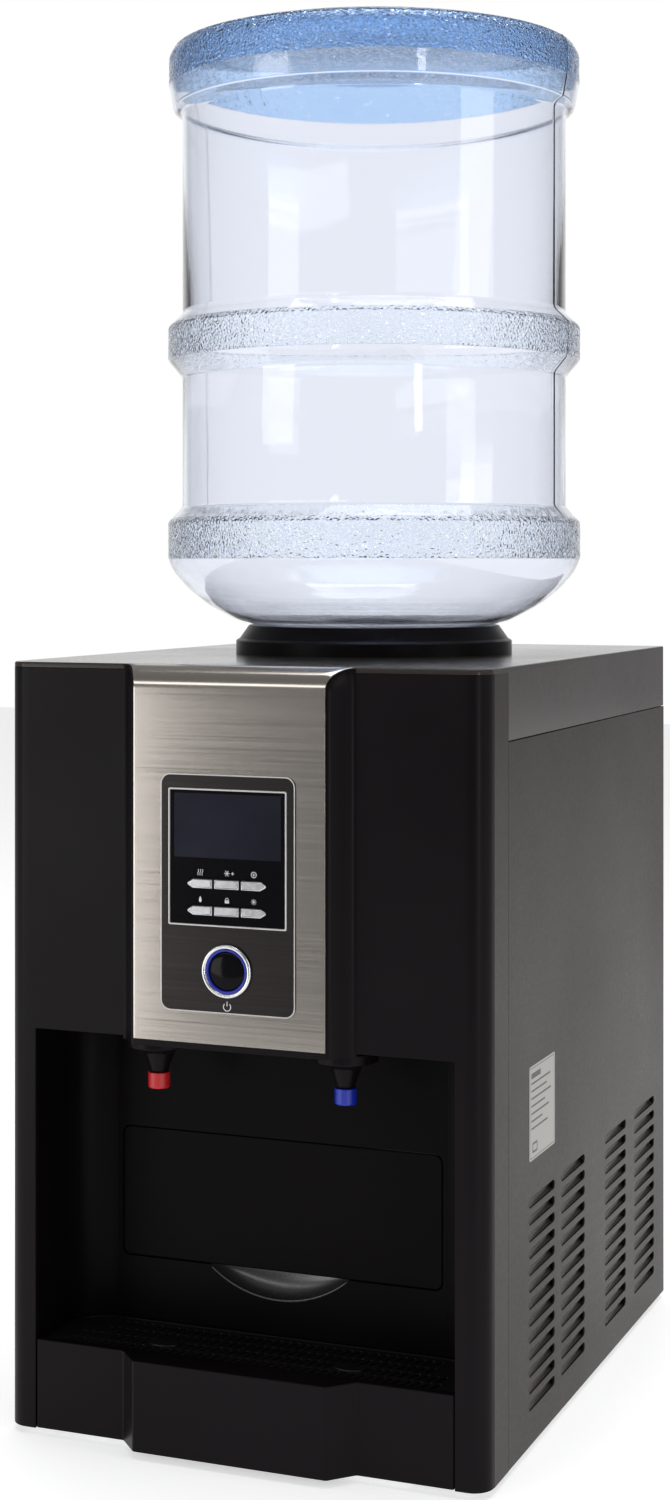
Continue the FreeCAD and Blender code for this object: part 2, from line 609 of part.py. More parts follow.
def tanks():
    """Cold tank with its lid and probe, float and foam, and the hot tank."""
    cold = Piece("cold_tank", "0", "bottle_y")
    inside = "tank_radius - 1.5"
    cold.turn([("0", "tank_base"), ("tank_radius", "tank_base"), ("tank_radius", "tank_top"),
               (inside, "tank_top"), (inside, "tank_base + 1.5"), ("0", "tank_base + 1.5")])
    cold.pad("XY", "tank_base + 1", "tank_top - 20", circle("0", "float_offset", "rod_radius"))
    lid = Piece("water_probe", "0", "bottle_y")
    lid.turn([("8", "350"), ("well_radius", "350"), ("well_radius", "tank_top"),
              ("tank_radius + 2", "tank_top"), ("tank_radius + 2", "tank_top + 2.5"),
              ("well_radius - 2", "tank_top + 2.5"), ("well_radius - 2", "352"),
              ("probe_radius", "352"), ("probe_radius", "403"), ("8", "408")])
    ball = Piece("tank_float", "0", "bottle_y")
    ball.pad("XY", "330", "342", circle("0", "float_offset", "12"),
             circle("0", "float_offset", "rod_radius + slack"))
    foam = Piece("tank_insulation", "0", "bottle_y")
    foam.turn([("0", "tank_base - 4"), ("foam_radius", "tank_base - 4"), ("foam_radius", "tank_top - 2"),
               ("tank_radius + slack", "tank_top - 2"), ("tank_radius + slack", "tank_base"),
               ("0", "tank_base")])
    hot = Piece("hot_tank", "hot_x", "hot_y")
    hot.turn([("0", "hot_base"), ("hot_radius - 6", "hot_base"), ("hot_radius", "hot_base + 6"),
              ("hot_radius", "hot_top - 6"), ("hot_radius - 6", "hot_top"), ("0", "hot_top")])


def hose(points, radius, bend):
    """A tube along straight runs joined by tangent arcs."""
    edges = []
    start = points[0]
    for before, corner, after in zip(points, points[1:], points[2:]):
        arrive = (corner - before).normalize()
        leave = (after - corner).normalize()
        half = (math.pi - arrive.getAngle(leave)) / 2
        reach = bend / math.tan(half)
        first, last = corner - arrive * reach, corner + leave * reach
        centre = corner + (leave - arrive).normalize() * (bend / math.sin(half))
        middle = centre + (corner - centre).normalize() * bend
        edges.append(Part.LineSegment(start, first).toShape())
        edges.append(Part.Arc(first, middle, last).toShape())
        start = last
    edges.append(Part.LineSegment(start, points[-1]).toShape())
    ring = Part.Wire(Part.makeCircle(radius, points[0], points[1] - points[0]))
    return Part.Wire(edges).makePipeShell([ring], True, True)


def water_hoses():
    """Cold and hot hoses from the tanks to the valves; bent tubes need a swept path."""
    x, y = value("nozzle_x"), -value("nozzle_y")
    hot_x, hot_y, hot_top = value("hot_x"), value("hot_y"), value("hot_top")
    run_z, valve_top, side = 330, 290.3, -112
    foam_y = value("bottle_y") - math.sqrt(value("foam_radius") ** 2 - x ** 2) - 6
    cold = hose([V(x, foam_y, run_z), V(x, y, run_z), V(x, y, valve_top)], 4.5, 16)
    hot = hose([V(hot_x, hot_y, hot_top + 0.3), V(hot_x, hot_y, run_z), V(side, hot_y - 45, run_z),
                V(side, y, run_z), V(-x, y, run_z), V(-x, y, valve_top)], 4.5, 14)
    item = doc.addObject("Part::Feature", "water_hoses")
    item.Shape = Part.makeCompound([cold, hot])
    kept(item, "water_hoses")


# ---- ice maker and cooling ----

def ice_maker():
    """Cold fingers, the tilting water trough, and the motor and bearing that hold it."""
    cold = Piece("evaporator_plate")
    cold.pad("XY", "ice_z", "ice_z + 6", rectangle("-58", "58", "-ice_y - 20", "20 - ice_y"))
    cold.pad("XY", "ice_z - 22", "ice_z", *[circle(f"{x}", f"{y} - ice_y", "4")
                                          for x in (-48, -24, 0, 24, 48) for y in (-13, 13)])
    cold.pad("XY", "ice_z + 6", "tank_base - 4", circle("0", "-ice_y", "5"))

    trough = Piece("ice_water_tray")
    trough.pad("YZ", "-trough_half", "trough_half", circle("-ice_y", "ice_z", "trough"))
    trough.cut("YZ", "2 - trough_half", "trough_half - 2", circle("-ice_y", "ice_z", "trough - 2"))
    trough.cut("YZ", "-trough_half - 1", "trough_half + 1",
               rectangle("-ice_y - trough - 1", "trough + 1 - ice_y", "ice_z", "ice_z + trough + 1"))
    for x0, x1, radius in (("trough_half - 2", "trough_half", "6"), ("-trough_half", "2 - trough_half", "6"),
                           ("trough_half", "trough_half + 5", "pin"),
                           ("-trough_half - 5", "-trough_half", "pin")):
        trough.pad("YZ", x0, x1, circle("-ice_y", "ice_z", radius))

    holders = []
    for x0, x1, bore in (("trough_half + 2", "trough_half + 28", "trough_half + 1"),
                         ("-trough_half - 8", "-trough_half - 2", "-trough_half - 9")):
        block = box("block", x0, x1, "-ice_y - 14", "14 - ice_y", "ice_z - 14", "tank_base - 5")
        hole = cylinder("bore", bore, "-ice_y", "ice_z", "pin + 0.08", "9", "x")
        holder = doc.addObject("Part::Cut", "holder")
        holder.Base, holder.Tool = block, hole
        holders.append(holder)
    joined("ice_tray_motor", holders, "Part::Compound")


def cooling():
    """Compressor on grommets, finned condenser, fan and motor, and the water pump."""
    shell = Piece("compressor", "compressor_x", "compressor_y")
    shell.turn([("0", "22"), ("46", "22"), ("compressor_radius", "34"), ("compressor_radius", "118"),
                ("44", "142"), ("0", "150")])
    shell.pad("XY", "17", "22.5", rectangle("-60", "60", "-45", "45"))
    spots = [(f"compressor_x + {x}", f"compressor_y + {y}") for x in (-50, 50) for y in (-36, 36)]
    joined("compressor_grommets", [cylinder("grommet", x, y, "base_z + 1.5", "8", "15.5 - base_z")
                                   for x, y in spots], "Part::Compound")

    core = Piece("condenser")
    face = rectangle("core_x", "core_x + core_thick", "core_base", "core_top")
    core.pad("XZ", "core_front", "core_front + 2", face)
    core.pad("XZ", "core_front + 2", "core_back", *[
        circle("core_x + core_thick/2", f"core_base + {height}", "4") for height in (15, 50, 85, 120)])
    fin = core.pad("XZ", "core_front + 6", "core_front + 7", face)
    core.repeat(fin, "Y_Axis", "26*5", 27)

    shroud = Piece("fan_shroud")
    shroud.pad("YZ", "core_x - 6", "core_x - 3", rectangle("core_front + 2", "core_back - 2", "core_base",
               "core_top"), circle("fan_y", "fan_z", "fan_radius + 3"))
    motor = Piece("fan_motor")
    motor.pad("YZ", "70", "92", circle("fan_y", "fan_z", "18"))
    motor.pad("XY", "base_z + 1.5", "fan_z", rectangle("76", "86", "fan_y - 5", "fan_y + 5"))
    fan = Piece("fan_blades")
    fan.pad("YZ", "92.3", "110", circle("fan_y", "fan_z", "14"))
    blades = []
    for number in range(5):
        turn = math.radians(72 * number)
        corners = []
        for along, across in ((12, -7), (54, -16), (54, 12), (12, 7)):
            y = along * math.cos(turn) - across * math.sin(turn)
            z = along * math.sin(turn) + across * math.cos(turn)
            corners.append((f"fan_y + fan_radius*{y / 54:.5f}", f"fan_z + fan_radius*{z / 54:.5f}"))
        blades.append(corners)
    fan.pad("YZ", "100", "103", *blades)

    joined("water_pump", [box("case", "-140", "-112", "-60", "-20", "base_z + 1.5", "36"),
                          cylinder("head", "-126", "-40", "35", "11", "14")])


def finish():
    """Checks every object and sub-part, then writes one STEP file for each sub-part."""
    doc.recompute()
    for item in doc.Objects:
        if "Invalid" in item.State or "Error" in item.State:
            raise RuntimeError(f"{item.Name} failed: {item.State}")
    for item in sub_parts:
        shape = item.Shape
        if shape.isNull() or not shape.isValid() or shape.Volume <= 0:
            raise RuntimeError(f"{item.Label} has no valid shape")
    os.makedirs("parts", exist_ok=True)
    for item in sub_parts:
        item.Shape.exportStep(f"parts/{item.Label}.step")
        size = item.Shape.BoundBox
        print(f"{item.Label:22s} {item.Shape.Volume / 1000:9.2f} cm3  solids {len(item.Shape.Solids)}"
              f"  x {size.XMin:.1f}..{size.XMax:.1f}  y {size.YMin:.1f}..{size.YMax:.1f}"
              f"  z {size.ZMin:.1f}..{size.ZMax:.1f}")
    print(len(sub_parts), "sub-parts")


front_bezel()
steel_fascia()
control_panel()
keys()
control_board()
dispensing_alcove()
taps()
panels()
small_outside_pieces()
ice_drawer()
drip_tray()
bottle()
tanks()
water_hoses()
ice_maker()
cooling()
finish()
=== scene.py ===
import json
import math
import bpy
import bmesh
import numpy as np
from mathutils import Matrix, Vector
from mathutils.geometry import tessellate_polygon


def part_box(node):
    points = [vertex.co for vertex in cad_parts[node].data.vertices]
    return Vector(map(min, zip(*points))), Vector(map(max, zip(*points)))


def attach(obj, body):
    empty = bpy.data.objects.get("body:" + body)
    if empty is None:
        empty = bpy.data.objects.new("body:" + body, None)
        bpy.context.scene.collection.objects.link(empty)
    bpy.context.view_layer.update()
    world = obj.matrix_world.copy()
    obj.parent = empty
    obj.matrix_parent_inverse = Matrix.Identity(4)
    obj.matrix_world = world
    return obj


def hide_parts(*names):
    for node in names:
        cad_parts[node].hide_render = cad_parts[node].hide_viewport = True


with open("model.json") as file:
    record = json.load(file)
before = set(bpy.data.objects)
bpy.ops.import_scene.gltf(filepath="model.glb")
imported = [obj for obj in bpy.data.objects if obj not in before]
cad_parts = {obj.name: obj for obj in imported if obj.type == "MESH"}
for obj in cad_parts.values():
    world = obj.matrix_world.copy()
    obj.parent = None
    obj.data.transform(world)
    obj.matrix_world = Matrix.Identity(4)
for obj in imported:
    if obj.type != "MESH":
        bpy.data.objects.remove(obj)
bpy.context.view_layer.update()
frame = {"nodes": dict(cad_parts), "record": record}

# Lengths are in millimetres until a piece is made; every place comes from a node's box.
MM = 0.001
WELD = 0.002 * MM


def place(node):
    """Lowest and highest corner of a node, in millimetres."""
    low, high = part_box(node)
    return np.array(low) / MM, np.array(high) / MM


def centre_of(node):
    """Middle of a node's box, in millimetres."""
    return sum(place(node)) / 2


# ---- outlines: closed rows of points in a plane ----

def rounded(corners, radius, steps=6):
    """Outline whose corners are turned on arcs: each corner's spoke is rotated through its angle of turn."""
    corners = np.array(corners, float)
    radii = np.broadcast_to(np.array(radius, float), len(corners))
    arrive = corners - np.roll(corners, 1, 0)
    arrive /= np.linalg.norm(arrive, axis=1)[:, None]
    leave = np.roll(arrive, -1, 0)
    turn = np.arctan2(arrive[:, 0] * leave[:, 1] - arrive[:, 1] * leave[:, 0], (arrive * leave).sum(1))
    first = corners - arrive * (radii * np.tan(np.abs(turn) / 2))[:, None]
    side = np.stack([-arrive[:, 1], arrive[:, 0]], 1) * np.sign(turn)[:, None]
    centre = first + side * radii[:, None]
    spoke = first - centre
    angle = np.linspace(0, 1, steps + 1)[None, :] * turn[:, None]
    x = centre[:, :1] + spoke[:, :1] * np.cos(angle) - spoke[:, 1:] * np.sin(angle)
    y = centre[:, 1:] + spoke[:, :1] * np.sin(angle) + spoke[:, 1:] * np.cos(angle)
    points = np.stack([x, y], -1).reshape(-1, 2)
    apart = np.linalg.norm(points - np.roll(points, 1, 0), axis=1) > 1e-5
    return points[apart]


def full_turn(steps):
    """Angles evenly round a circle, the last one short of the first."""
    return np.linspace(0, 2 * np.pi, steps, endpoint=False)


def rectangle(x0, x1, y0, y1, radius=0.0, steps=6):
    """Rectangle outline with rounded corners."""
    return rounded([(x0, y0), (x1, y0), (x1, y1), (x0, y1)], radius, steps)


def box_outline(low, high, grow=0.0, radius=0.0, steps=6, across=0):
    """Outline of a box grown by a margin, seen from the front, or from the side for across=1."""
    return rectangle(low[across] - grow, high[across] + grow, low[2] - grow, high[2] + grow, radius, steps)


def oval(x, y, half_x, half_y, steps=48):
    """Ellipse outline: cosine across, sine up."""
    turn = full_turn(steps)
    return np.stack([x + half_x * np.cos(turn), y + half_y * np.sin(turn)], 1)


def tub(half, front, back, radius, steps=12):
    """Outline with a straight front and two rounded rear corners."""
    corners = [(-half, front), (half, front), (half, back), (-half, back)]
    return rounded(corners, [0, 0, radius, radius], steps)


def open_path(corners, radius, steps=6):
    """Rounded path that keeps both of its ends."""
    radii = np.full(len(corners), float(radius))
    radii[[0, -1]] = 0
    return rounded(corners, radii, steps)


# ---- shapes: pairs of points and faces ----

def grid(points, wrap_u=False, wrap_v=False, keep=None):
    """Quads between neighbours in a (u, v) array of points; keep says which cells are made."""
    nu, nv = points.shape[:2]
    i, j = np.meshgrid(np.arange(nu if wrap_u else nu - 1), np.arange(nv if wrap_v else nv - 1),
                       indexing="ij")
    after_i, after_j = (i + 1) % nu, (j + 1) % nv
    quads = np.stack([i * nv + j, after_i * nv + j, after_i * nv + after_j, i * nv + after_j], -1)
    quads = quads.reshape(-1, 4) if keep is None else quads[keep]
    return points.reshape(-1, 3), quads.tolist()


def combined(*shapes):
    """One shape from several, the faces of each counted on from the last one's points."""
    points, faces, count = [], [], 0
    for more, quads in shapes:
        points.append(more)
        faces.extend([[corner + count for corner in face] for face in quads])
        count += len(more)
    return np.concatenate(points), faces


def points_at(x, y, z):
    """Points from three arrays, each repeated along the directions that it doesn't vary in."""
    return np.stack(np.broadcast_arrays(x, y, z), -1)


FACING = {
    "up": lambda a, b, h: (a, b, h), "front": lambda a, b, h: (a, -h, b),
    "right": lambda a, b, h: (h, a, b), "left": lambda a, b, h: (-h, -a, b),
    "back": lambda a, b, h: (-a, h, b),
}


def turned_to(points, facing):
    """Points given as across, up and out, laid on the side that the piece faces."""
    return np.stack(FACING[facing](points[..., 0], points[..., 1], points[..., 2]), -1)


def signed_area(loop):
    """Half the sum of each edge's cross product: positive for an anticlockwise outline."""
    after = np.roll(loop, -1, 0)
    return (loop[:, 0] * after[:, 1] - loop[:, 1] * after[:, 0]).sum() / 2


def slab(loops, low, high, facing="up", top=0.0, bottom=0.0, steps=3):
    """Flat piece between two heights, the first outline its rim and the rest its holes.

    Each outline is carried up its wall; at a rounded edge it steps inward along a quarter circle, every
    point along the bisector of its two edges. Both ends are filled across.
    """
    arc = np.linspace(0, np.pi / 2, steps + 1)
    foot = np.stack([low + bottom * (1 - np.cos(arc)), bottom * (1 - np.sin(arc))], 1)
    head = np.stack([high - top * (1 - np.sin(arc)), top * (1 - np.cos(arc))], 1)
    rows = np.concatenate([foot if bottom else foot[-1:], head if top else head[:1]])
    if not bottom:
        rows[0] = (low, 0)
    if not top:
        rows[-1] = (high, 0)
    walls, ends = [], ([], [])
    for number, loop in enumerate(loops):
        loop = loop if (signed_area(loop) > 0) == (number == 0) else loop[::-1]
        along = np.roll(loop, -1, 0) - loop
        along /= np.linalg.norm(along, axis=1)[:, None]
        inward = np.stack([-along[:, 1], along[:, 0]], 1)
        before = np.roll(inward, 1, 0)
        mitre = (inward + before) / (1 + (inward * before).sum(1))[:, None]
        flat = loop[:, None, :] + mitre[:, None, :] * rows[None, :, 1:]
        height = np.broadcast_to(rows[None, :, :1], flat.shape[:2] + (1,))
        points = np.concatenate([flat, height], -1)
        walls.append(grid(points, wrap_u=True))
        ends[0].append(points[:, 0])
        ends[1].append(points[:, -1])
    shapes = list(walls)
    for rings, up in ((ends[0], -1), (ends[1], 1)):
        points = np.concatenate(rings)
        corners = np.array(tessellate_polygon([[Vector(p) for p in ring] for ring in rings]))
        a, b, c = (points[corners[:, k], :2] for k in range(3))
        area = (b[:, 0] - a[:, 0]) * (c[:, 1] - a[:, 1]) - (b[:, 1] - a[:, 1]) * (c[:, 0] - a[:, 0])
        wrong = area * up < 0
        corners[wrong] = corners[wrong][:, ::-1]
        shapes.append((points, corners[np.abs(area) > 1e-9].tolist()))
    points, faces = combined(*shapes)
    return turned_to(points, facing), faces


def turned(profile, x=0.0, y=0.0, steps=96, closed=False, facing="up", out=0.0):
    """Surface of revolution: each profile point (radius, height) is carried round the axis."""
    profile = np.array(profile, float)
    turn = full_turn(steps)[:, None]
    points = points_at(x + profile[:, 0] * np.cos(turn), y + profile[:, 0] * np.sin(turn),
                       out + profile[:, 1])
    shape = grid(points, wrap_u=True, wrap_v=closed)
    return turned_to(shape[0], facing), shape[1]


# ---- pieces ----

def piece(name, shape, slot, body="housing", stands_for=(), finish=None, crease=35.0, weighted=True):
    """A mesh object in metres from a shape, welded, shaded smooth up to the crease, riding on a body.

    It has its slot's finish unless another is given. Printed marks have no slot.
    """
    points, faces = shape
    mesh = bpy.data.meshes.new(name)
    mesh.from_pydata((points * MM).tolist(), [], faces)
    work = bmesh.new()
    work.from_mesh(mesh)
    bmesh.ops.remove_doubles(work, verts=work.verts, dist=WELD)
    bmesh.ops.dissolve_degenerate(work, edges=work.edges, dist=WELD / 4)
    work.to_mesh(mesh)
    work.free()
    mesh.shade_smooth()
    mesh.set_sharp_from_angle(angle=math.radians(crease))
    thing = bpy.data.objects.new(name, mesh)
    bpy.context.scene.collection.objects.link(thing)
    mesh.materials.append(finish or FINISH[slot])
    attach(thing, body)
    if stands_for:
        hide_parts(*stands_for)
    if weighted:
        normals = thing.modifiers.new("even_shading", "WEIGHTED_NORMAL")
        normals.keep_sharp = True
    return thing


def thickened(thing, thickness, edge=0.0, angle=50.0):
    """Gives a sheet its wall, inward, and breaks the edges of its rim."""
    wall = thing.modifiers.new("wall", "SOLIDIFY")
    wall.thickness = thickness * MM
    wall.offset = -1
    wall.use_even_offset = True
    if edge:
        rim = thing.modifiers.new("rim", "BEVEL")
        rim.width = edge * MM
        rim.segments = 3
        rim.limit_method = "ANGLE"
        rim.angle_limit = math.radians(angle)
    normals = thing.modifiers.new("even_shading", "WEIGHTED_NORMAL")
    normals.keep_sharp = True
    return thing


# ---- finishes ----

class Nodes:
    """A material's node tree, with short calls for the nodes that the finishes use."""

    def __init__(self, name):
        self.material = bpy.data.materials.new(name)
        self.material.use_nodes = True
        self.tree = self.material.node_tree
        self.tree.nodes.clear()
        self.output = self.node("ShaderNodeOutputMaterial")
        self.shader = self.node("ShaderNodeBsdfPrincipled")
        self.link(self.shader.outputs[0], self.output.inputs["Surface"])
        self.place = self.node("ShaderNodeTexCoord").outputs["Object"]

    def node(self, kind, **values):
        made = self.tree.nodes.new(kind)
        for key, number in values.items():
            setattr(made, key, number)
        return made

    def link(self, source, target):
        self.tree.links.new(source, target)

    def stretched(self, scale=(1, 1, 1), turn=(0, 0, 0), shift=(0, 0, 0)):
        """Object coordinates moved, turned and scaled."""
        mapping = self.node("ShaderNodeMapping")
        mapping.inputs["Scale"].default_value = scale
        mapping.inputs["Rotation"].default_value = turn
        mapping.inputs["Location"].default_value = shift
        self.link(self.place, mapping.inputs["Vector"])
        return mapping.outputs[0]

    def noise(self, where, scale, detail=3.0, rough=0.5):
        made = self.node("ShaderNodeTexNoise")
        made.inputs["Scale"].default_value = scale
        made.inputs["Detail"].default_value = detail
        made.inputs["Roughness"].default_value = rough
        self.link(where, made.inputs["Vector"])
        return made.outputs["Fac"]

    def cells(self, where, scale, feature="F1", output="Distance"):
        made = self.node("ShaderNodeTexVoronoi", feature=feature)
        made.inputs["Scale"].default_value = scale
        self.link(where, made.inputs["Vector"])
        return made.outputs[output]

    def span(self, source, low, high, start=0.3, end=0.7):
        """The value carried from one range to another."""
        made = self.node("ShaderNodeMapRange")
        for key, number in (("From Min", start), ("From Max", end), ("To Min", low), ("To Max", high)):
            made.inputs[key].default_value = number
        self.link(source, made.inputs["Value"])
        return made.outputs[0]

    def sum(self, first, second, kind="ADD"):
        made = self.node("ShaderNodeMath", operation=kind)
        for number, source in enumerate((first, second)):
            if isinstance(source, (int, float)):
                made.inputs[number].default_value = source
            else:
                self.link(source, made.inputs[number])
        return made.outputs[0]

    def blend(self, share, first, second):
        """A colour between two, by a share; either may be a colour or a socket."""
        made = self.node("ShaderNodeMix", data_type="RGBA")
        self.link(share, made.inputs["Factor"])
        for key, source in ((6, first), (7, second)):
            if isinstance(source, tuple):
                made.inputs[key].default_value = source + (1,)
            else:
                self.link(source, made.inputs[key])
        return made.outputs[2]

    def relief(self, height, depth, strength=1.0, under=None):
        """Bump whose height is in millimetres."""
        made = self.node("ShaderNodeBump")
        made.inputs["Strength"].default_value = strength
        made.inputs["Distance"].default_value = depth * MM
        self.link(height, made.inputs["Height"])
        if under is not None:
            self.link(under, made.inputs["Normal"])
        self.link(made.outputs[0], self.shader.inputs["Normal"])
        return made.outputs[0]

    def colour(self, source):
        self.link(source, self.shader.inputs["Base Color"])

    def rough(self, source):
        self.link(source, self.shader.inputs["Roughness"])

    def fixed(self, **values):
        """Uniform numbers, set on the shader's own sockets."""
        for key, number in values.items():
            self.shader.inputs[key.replace("_", " ")].default_value = number


def tint(colour, share):
    """The colour made lighter or darker by a share."""
    return tuple(min(1.0, part * share) for part in colour)


def moulded(name, colour, rough=0.4, grain=0.6, depth=0.01, mottle=0.12, wander=0.06, **fixed):
    """Moulded plastic: fine spark texture, slow drift of tone and gloss."""
    n = Nodes(name)
    fine = n.noise(n.stretched(), 1 / (grain * MM), 2)
    broad = n.noise(n.stretched(), 9, 4)
    toned = n.blend(n.span(broad, 0, 1), tint(colour, 1 - mottle), tint(colour, 1 + mottle))
    n.colour(n.blend(n.span(fine, 0, 0.25), toned, tint(colour, 1 + 3 * mottle)))
    n.rough(n.sum(n.span(broad, rough - wander, rough + wander), n.span(fine, -0.02, 0.02)))
    n.relief(fine, depth)
    n.fixed(**fixed)
    return n.material


def brushed(name, colour, rough=0.3, pitch=0.35, reach=60.0, depth=0.004, streak=0.18, axis=0, **fixed):
    """Brushed metal: noise drawn out along one axis gives the lines in tone, gloss and relief."""
    n = Nodes(name)
    scale = [1.0, 1.0, 1.0]
    scale[axis] = pitch / reach
    lines = n.noise(n.stretched(tuple(scale)), 1 / (pitch * MM), 3, 0.6)
    scale[axis] = pitch / reach / 3
    bands = n.noise(n.stretched(tuple(scale)), 1 / (6 * pitch * MM), 2)
    share = n.sum(n.span(lines, 0, 0.6, 0.25, 0.75), n.span(bands, 0, 0.4, 0.3, 0.7))
    n.colour(n.blend(share, tint(colour, 1 - streak), tint(colour, 1 + streak)))
    n.rough(n.span(share, rough + 0.07, rough - 0.07, 0, 1))
    n.relief(lines, depth)
    n.fixed(Metallic=1.0, **fixed)
    return n.material


def painted(name, colour, rough=0.45, flake=0.5, depth=0.012, sparkle=0.5, metal=0.0, **fixed):
    """Metallic paint: small cells of lighter flake in a drifting base, with a faint orange peel."""
    n = Nodes(name)
    flakes = n.cells(n.stretched(), 1 / (flake * MM), output="Color")
    grey = n.node("ShaderNodeRGBToBW")
    n.link(flakes, grey.inputs[0])
    peel = n.noise(n.stretched(), 1 / (2.6 * MM), 3)
    broad = n.noise(n.stretched(), 5, 3)
    toned = n.blend(n.span(broad, 0, 1), tint(colour, 0.93), tint(colour, 1.07))
    n.colour(n.blend(n.span(grey.outputs[0], 0, sparkle, 0.5, 0.9), toned, tint(colour, 1.9)))
    n.rough(n.sum(n.span(broad, rough - 0.05, rough + 0.05), n.span(peel, -0.03, 0.03)))
    n.relief(peel, depth)
    n.fixed(Metallic=metal, **fixed)
    return n.material


def polished(name, colour, rough=0.08, metal=1.0, **fixed):
    """Polished metal or gloss: faint wipe marks in gloss and a very shallow ripple."""
    n = Nodes(name)
    wipe = n.noise(n.stretched((1, 1, 0.25)), 120, 4)
    ripple = n.noise(n.stretched(), 60, 2)
    n.colour(n.blend(n.span(wipe, 0, 1), tint(colour, 0.94), tint(colour, 1.04)))
    n.rough(n.span(wipe, max(rough - 0.03, 0.01), rough + 0.05))
    n.relief(ripple, 0.006)
    n.fixed(Metallic=metal, **fixed)
    return n.material


def cast(name, colour, rough=0.6, grain=1.6, depth=0.12, metal=0.0, **fixed):
    """Rough cast, rubber or foam skin: rounded cells over coarse noise."""
    n = Nodes(name)
    pits = n.cells(n.stretched(), 1 / (grain * MM), "SMOOTH_F1")
    coarse = n.noise(n.stretched(), 0.25 / (grain * MM), 4)
    n.colour(n.blend(n.span(coarse, 0, 1), tint(colour, 0.75), tint(colour, 1.3)))
    n.rough(n.span(coarse, rough - 0.1, rough + 0.1))
    n.relief(n.sum(pits, coarse), depth)
    n.fixed(Metallic=metal, **fixed)
    return n.material


def galvanised(name, colour):
    """Zinc plate: spangled crystals that differ in tone and gloss."""
    n = Nodes(name)
    crystals = n.cells(n.stretched(), 90, output="Color")
    grey = n.node("ShaderNodeRGBToBW")
    n.link(crystals, grey.inputs[0])
    n.colour(n.blend(n.span(grey.outputs[0], 0, 1, 0.1, 0.9), tint(colour, 0.75), tint(colour, 1.2)))
    n.rough(n.span(grey.outputs[0], 0.3, 0.5, 0.1, 0.9))
    n.relief(grey.outputs[0], 0.02)
    n.fixed(Metallic=0.9)
    return n.material


def circuit_board(name):
    """Solder mask with a faint weave and copper tracks showing through as lighter lines."""
    n = Nodes(name)
    tracks = n.cells(n.stretched(), 260, "DISTANCE_TO_EDGE")
    weave = n.noise(n.stretched(), 1500, 2)
    track_share = n.span(tracks, 1, 0, 0.02, 0.05)
    n.colour(n.blend(track_share, (0.01, 0.09, 0.03), (0.03, 0.2, 0.07)))
    n.rough(n.span(weave, 0.3, 0.45))
    n.relief(n.sum(tracks, weave), 0.02)
    return n.material


def glowing(name, colour, strength):
    """Lit ring: brightness wavers slightly round the light guide."""
    n = Nodes(name)
    waver = n.noise(n.stretched(), 160, 2)
    shade = n.blend(n.span(waver, 0, 1), tint(colour, 0.7), tint(colour, 1.2))
    n.colour(shade)
    n.link(shade, n.shader.inputs["Emission Color"])
    n.rough(n.span(waver, 0.25, 0.4))
    n.relief(waver, 0.01)
    n.fixed(Emission_Strength=strength)
    return n.material


def screen_glass(name):
    """Unlit display: dark blue-grey glass over a barely visible dot matrix."""
    n = Nodes(name)
    dots = n.cells(n.stretched(), 1 / (0.7 * MM), "F1")
    haze = n.noise(n.stretched((1, 1, 1.4)), 18, 3)
    lit = n.blend(n.span(haze, 0, 1), (0.015, 0.0145, 0.022), (0.024, 0.023, 0.036))
    n.colour(n.blend(n.span(dots, 0, 0.35, 0.2, 0.5), lit, (0.012, 0.014, 0.024)))
    n.rough(n.span(haze, 0.10, 0.16))
    n.relief(haze, 0.01)
    n.fixed(Specular_IOR_Level=0.1)
    return n.material


# Lowest and highest edge of the bottle's bands, from the base, which is uppermost, down. The fourth number
# of each tone is its share of pebbles.
BANDS = ((827.0, 853.0), (648.5, 671.5), (518.5, 545.0))
WALL_CLEAR, BAND_CLEAR, BASE_CLEAR = (0.955, 0.962, 1.0, 0), (0.89, 0.935, 1.0, 1), (0.52, 0.72, 1.0, 1)
WALL_TINT, WALL_DENSITY = (0.30, 0.58, 1.0, 1), 20.0


def clear_wall(name, pebble=0.3, size=2.6):
    """Blown polycarbonate: flow ripples, a tint that deepens with the wall, pebbles in the bands.

    The height picks the tint and, through its alpha, whether the pebbles are pressed in.
    """
    n = Nodes(name)
    split = n.node("ShaderNodeSeparateXYZ")
    n.link(n.place, split.inputs[0])
    low, high = 500.0, 860.0
    zones = n.node("ShaderNodeValToRGB")
    zones.color_ramp.interpolation = "CONSTANT"
    stops = [(0.0, WALL_CLEAR)]
    for tone, (start, end) in zip((BAND_CLEAR, BAND_CLEAR), BANDS[:0:-1]):
        stops += [((start - low) / (high - low), tone), ((end - low) / (high - low), WALL_CLEAR)]
    stops.append(((BANDS[0][0] - low) / (high - low), BASE_CLEAR))
    stripe = zones.color_ramp.elements
    stripe.remove(stripe[1])
    stripe[0].color = WALL_CLEAR
    for position, tone in stops[1:]:
        stripe.new(position).color = tone
    n.link(n.span(split.outputs["Z"], 0, 1, low * MM, high * MM), zones.inputs["Fac"])
    flow = n.noise(n.stretched((1, 1, 0.35)), 24, 3)
    n.colour(n.blend(n.span(flow, 0, 0.05), zones.outputs["Color"], (1.0, 1.0, 1.0)))
    n.rough(n.span(flow, 0.03, 0.06))
    cells = n.cells(n.stretched(), 1 / (size * MM), "DISTANCE_TO_EDGE")
    pressed = n.sum(n.span(cells, 0, 1, 0, 0.35), zones.outputs["Alpha"], "MULTIPLY")
    n.relief(n.sum(pressed, n.span(flow, 0, 0.5, 0, 1)), pebble)
    n.fixed(Transmission_Weight=1.0, IOR=1.4)
    depth = n.node("ShaderNodeVolumeAbsorption")
    depth.inputs["Color"].default_value = WALL_TINT
    depth.inputs["Density"].default_value = WALL_DENSITY
    n.link(depth.outputs[0], n.output.inputs["Volume"])
    return n.material


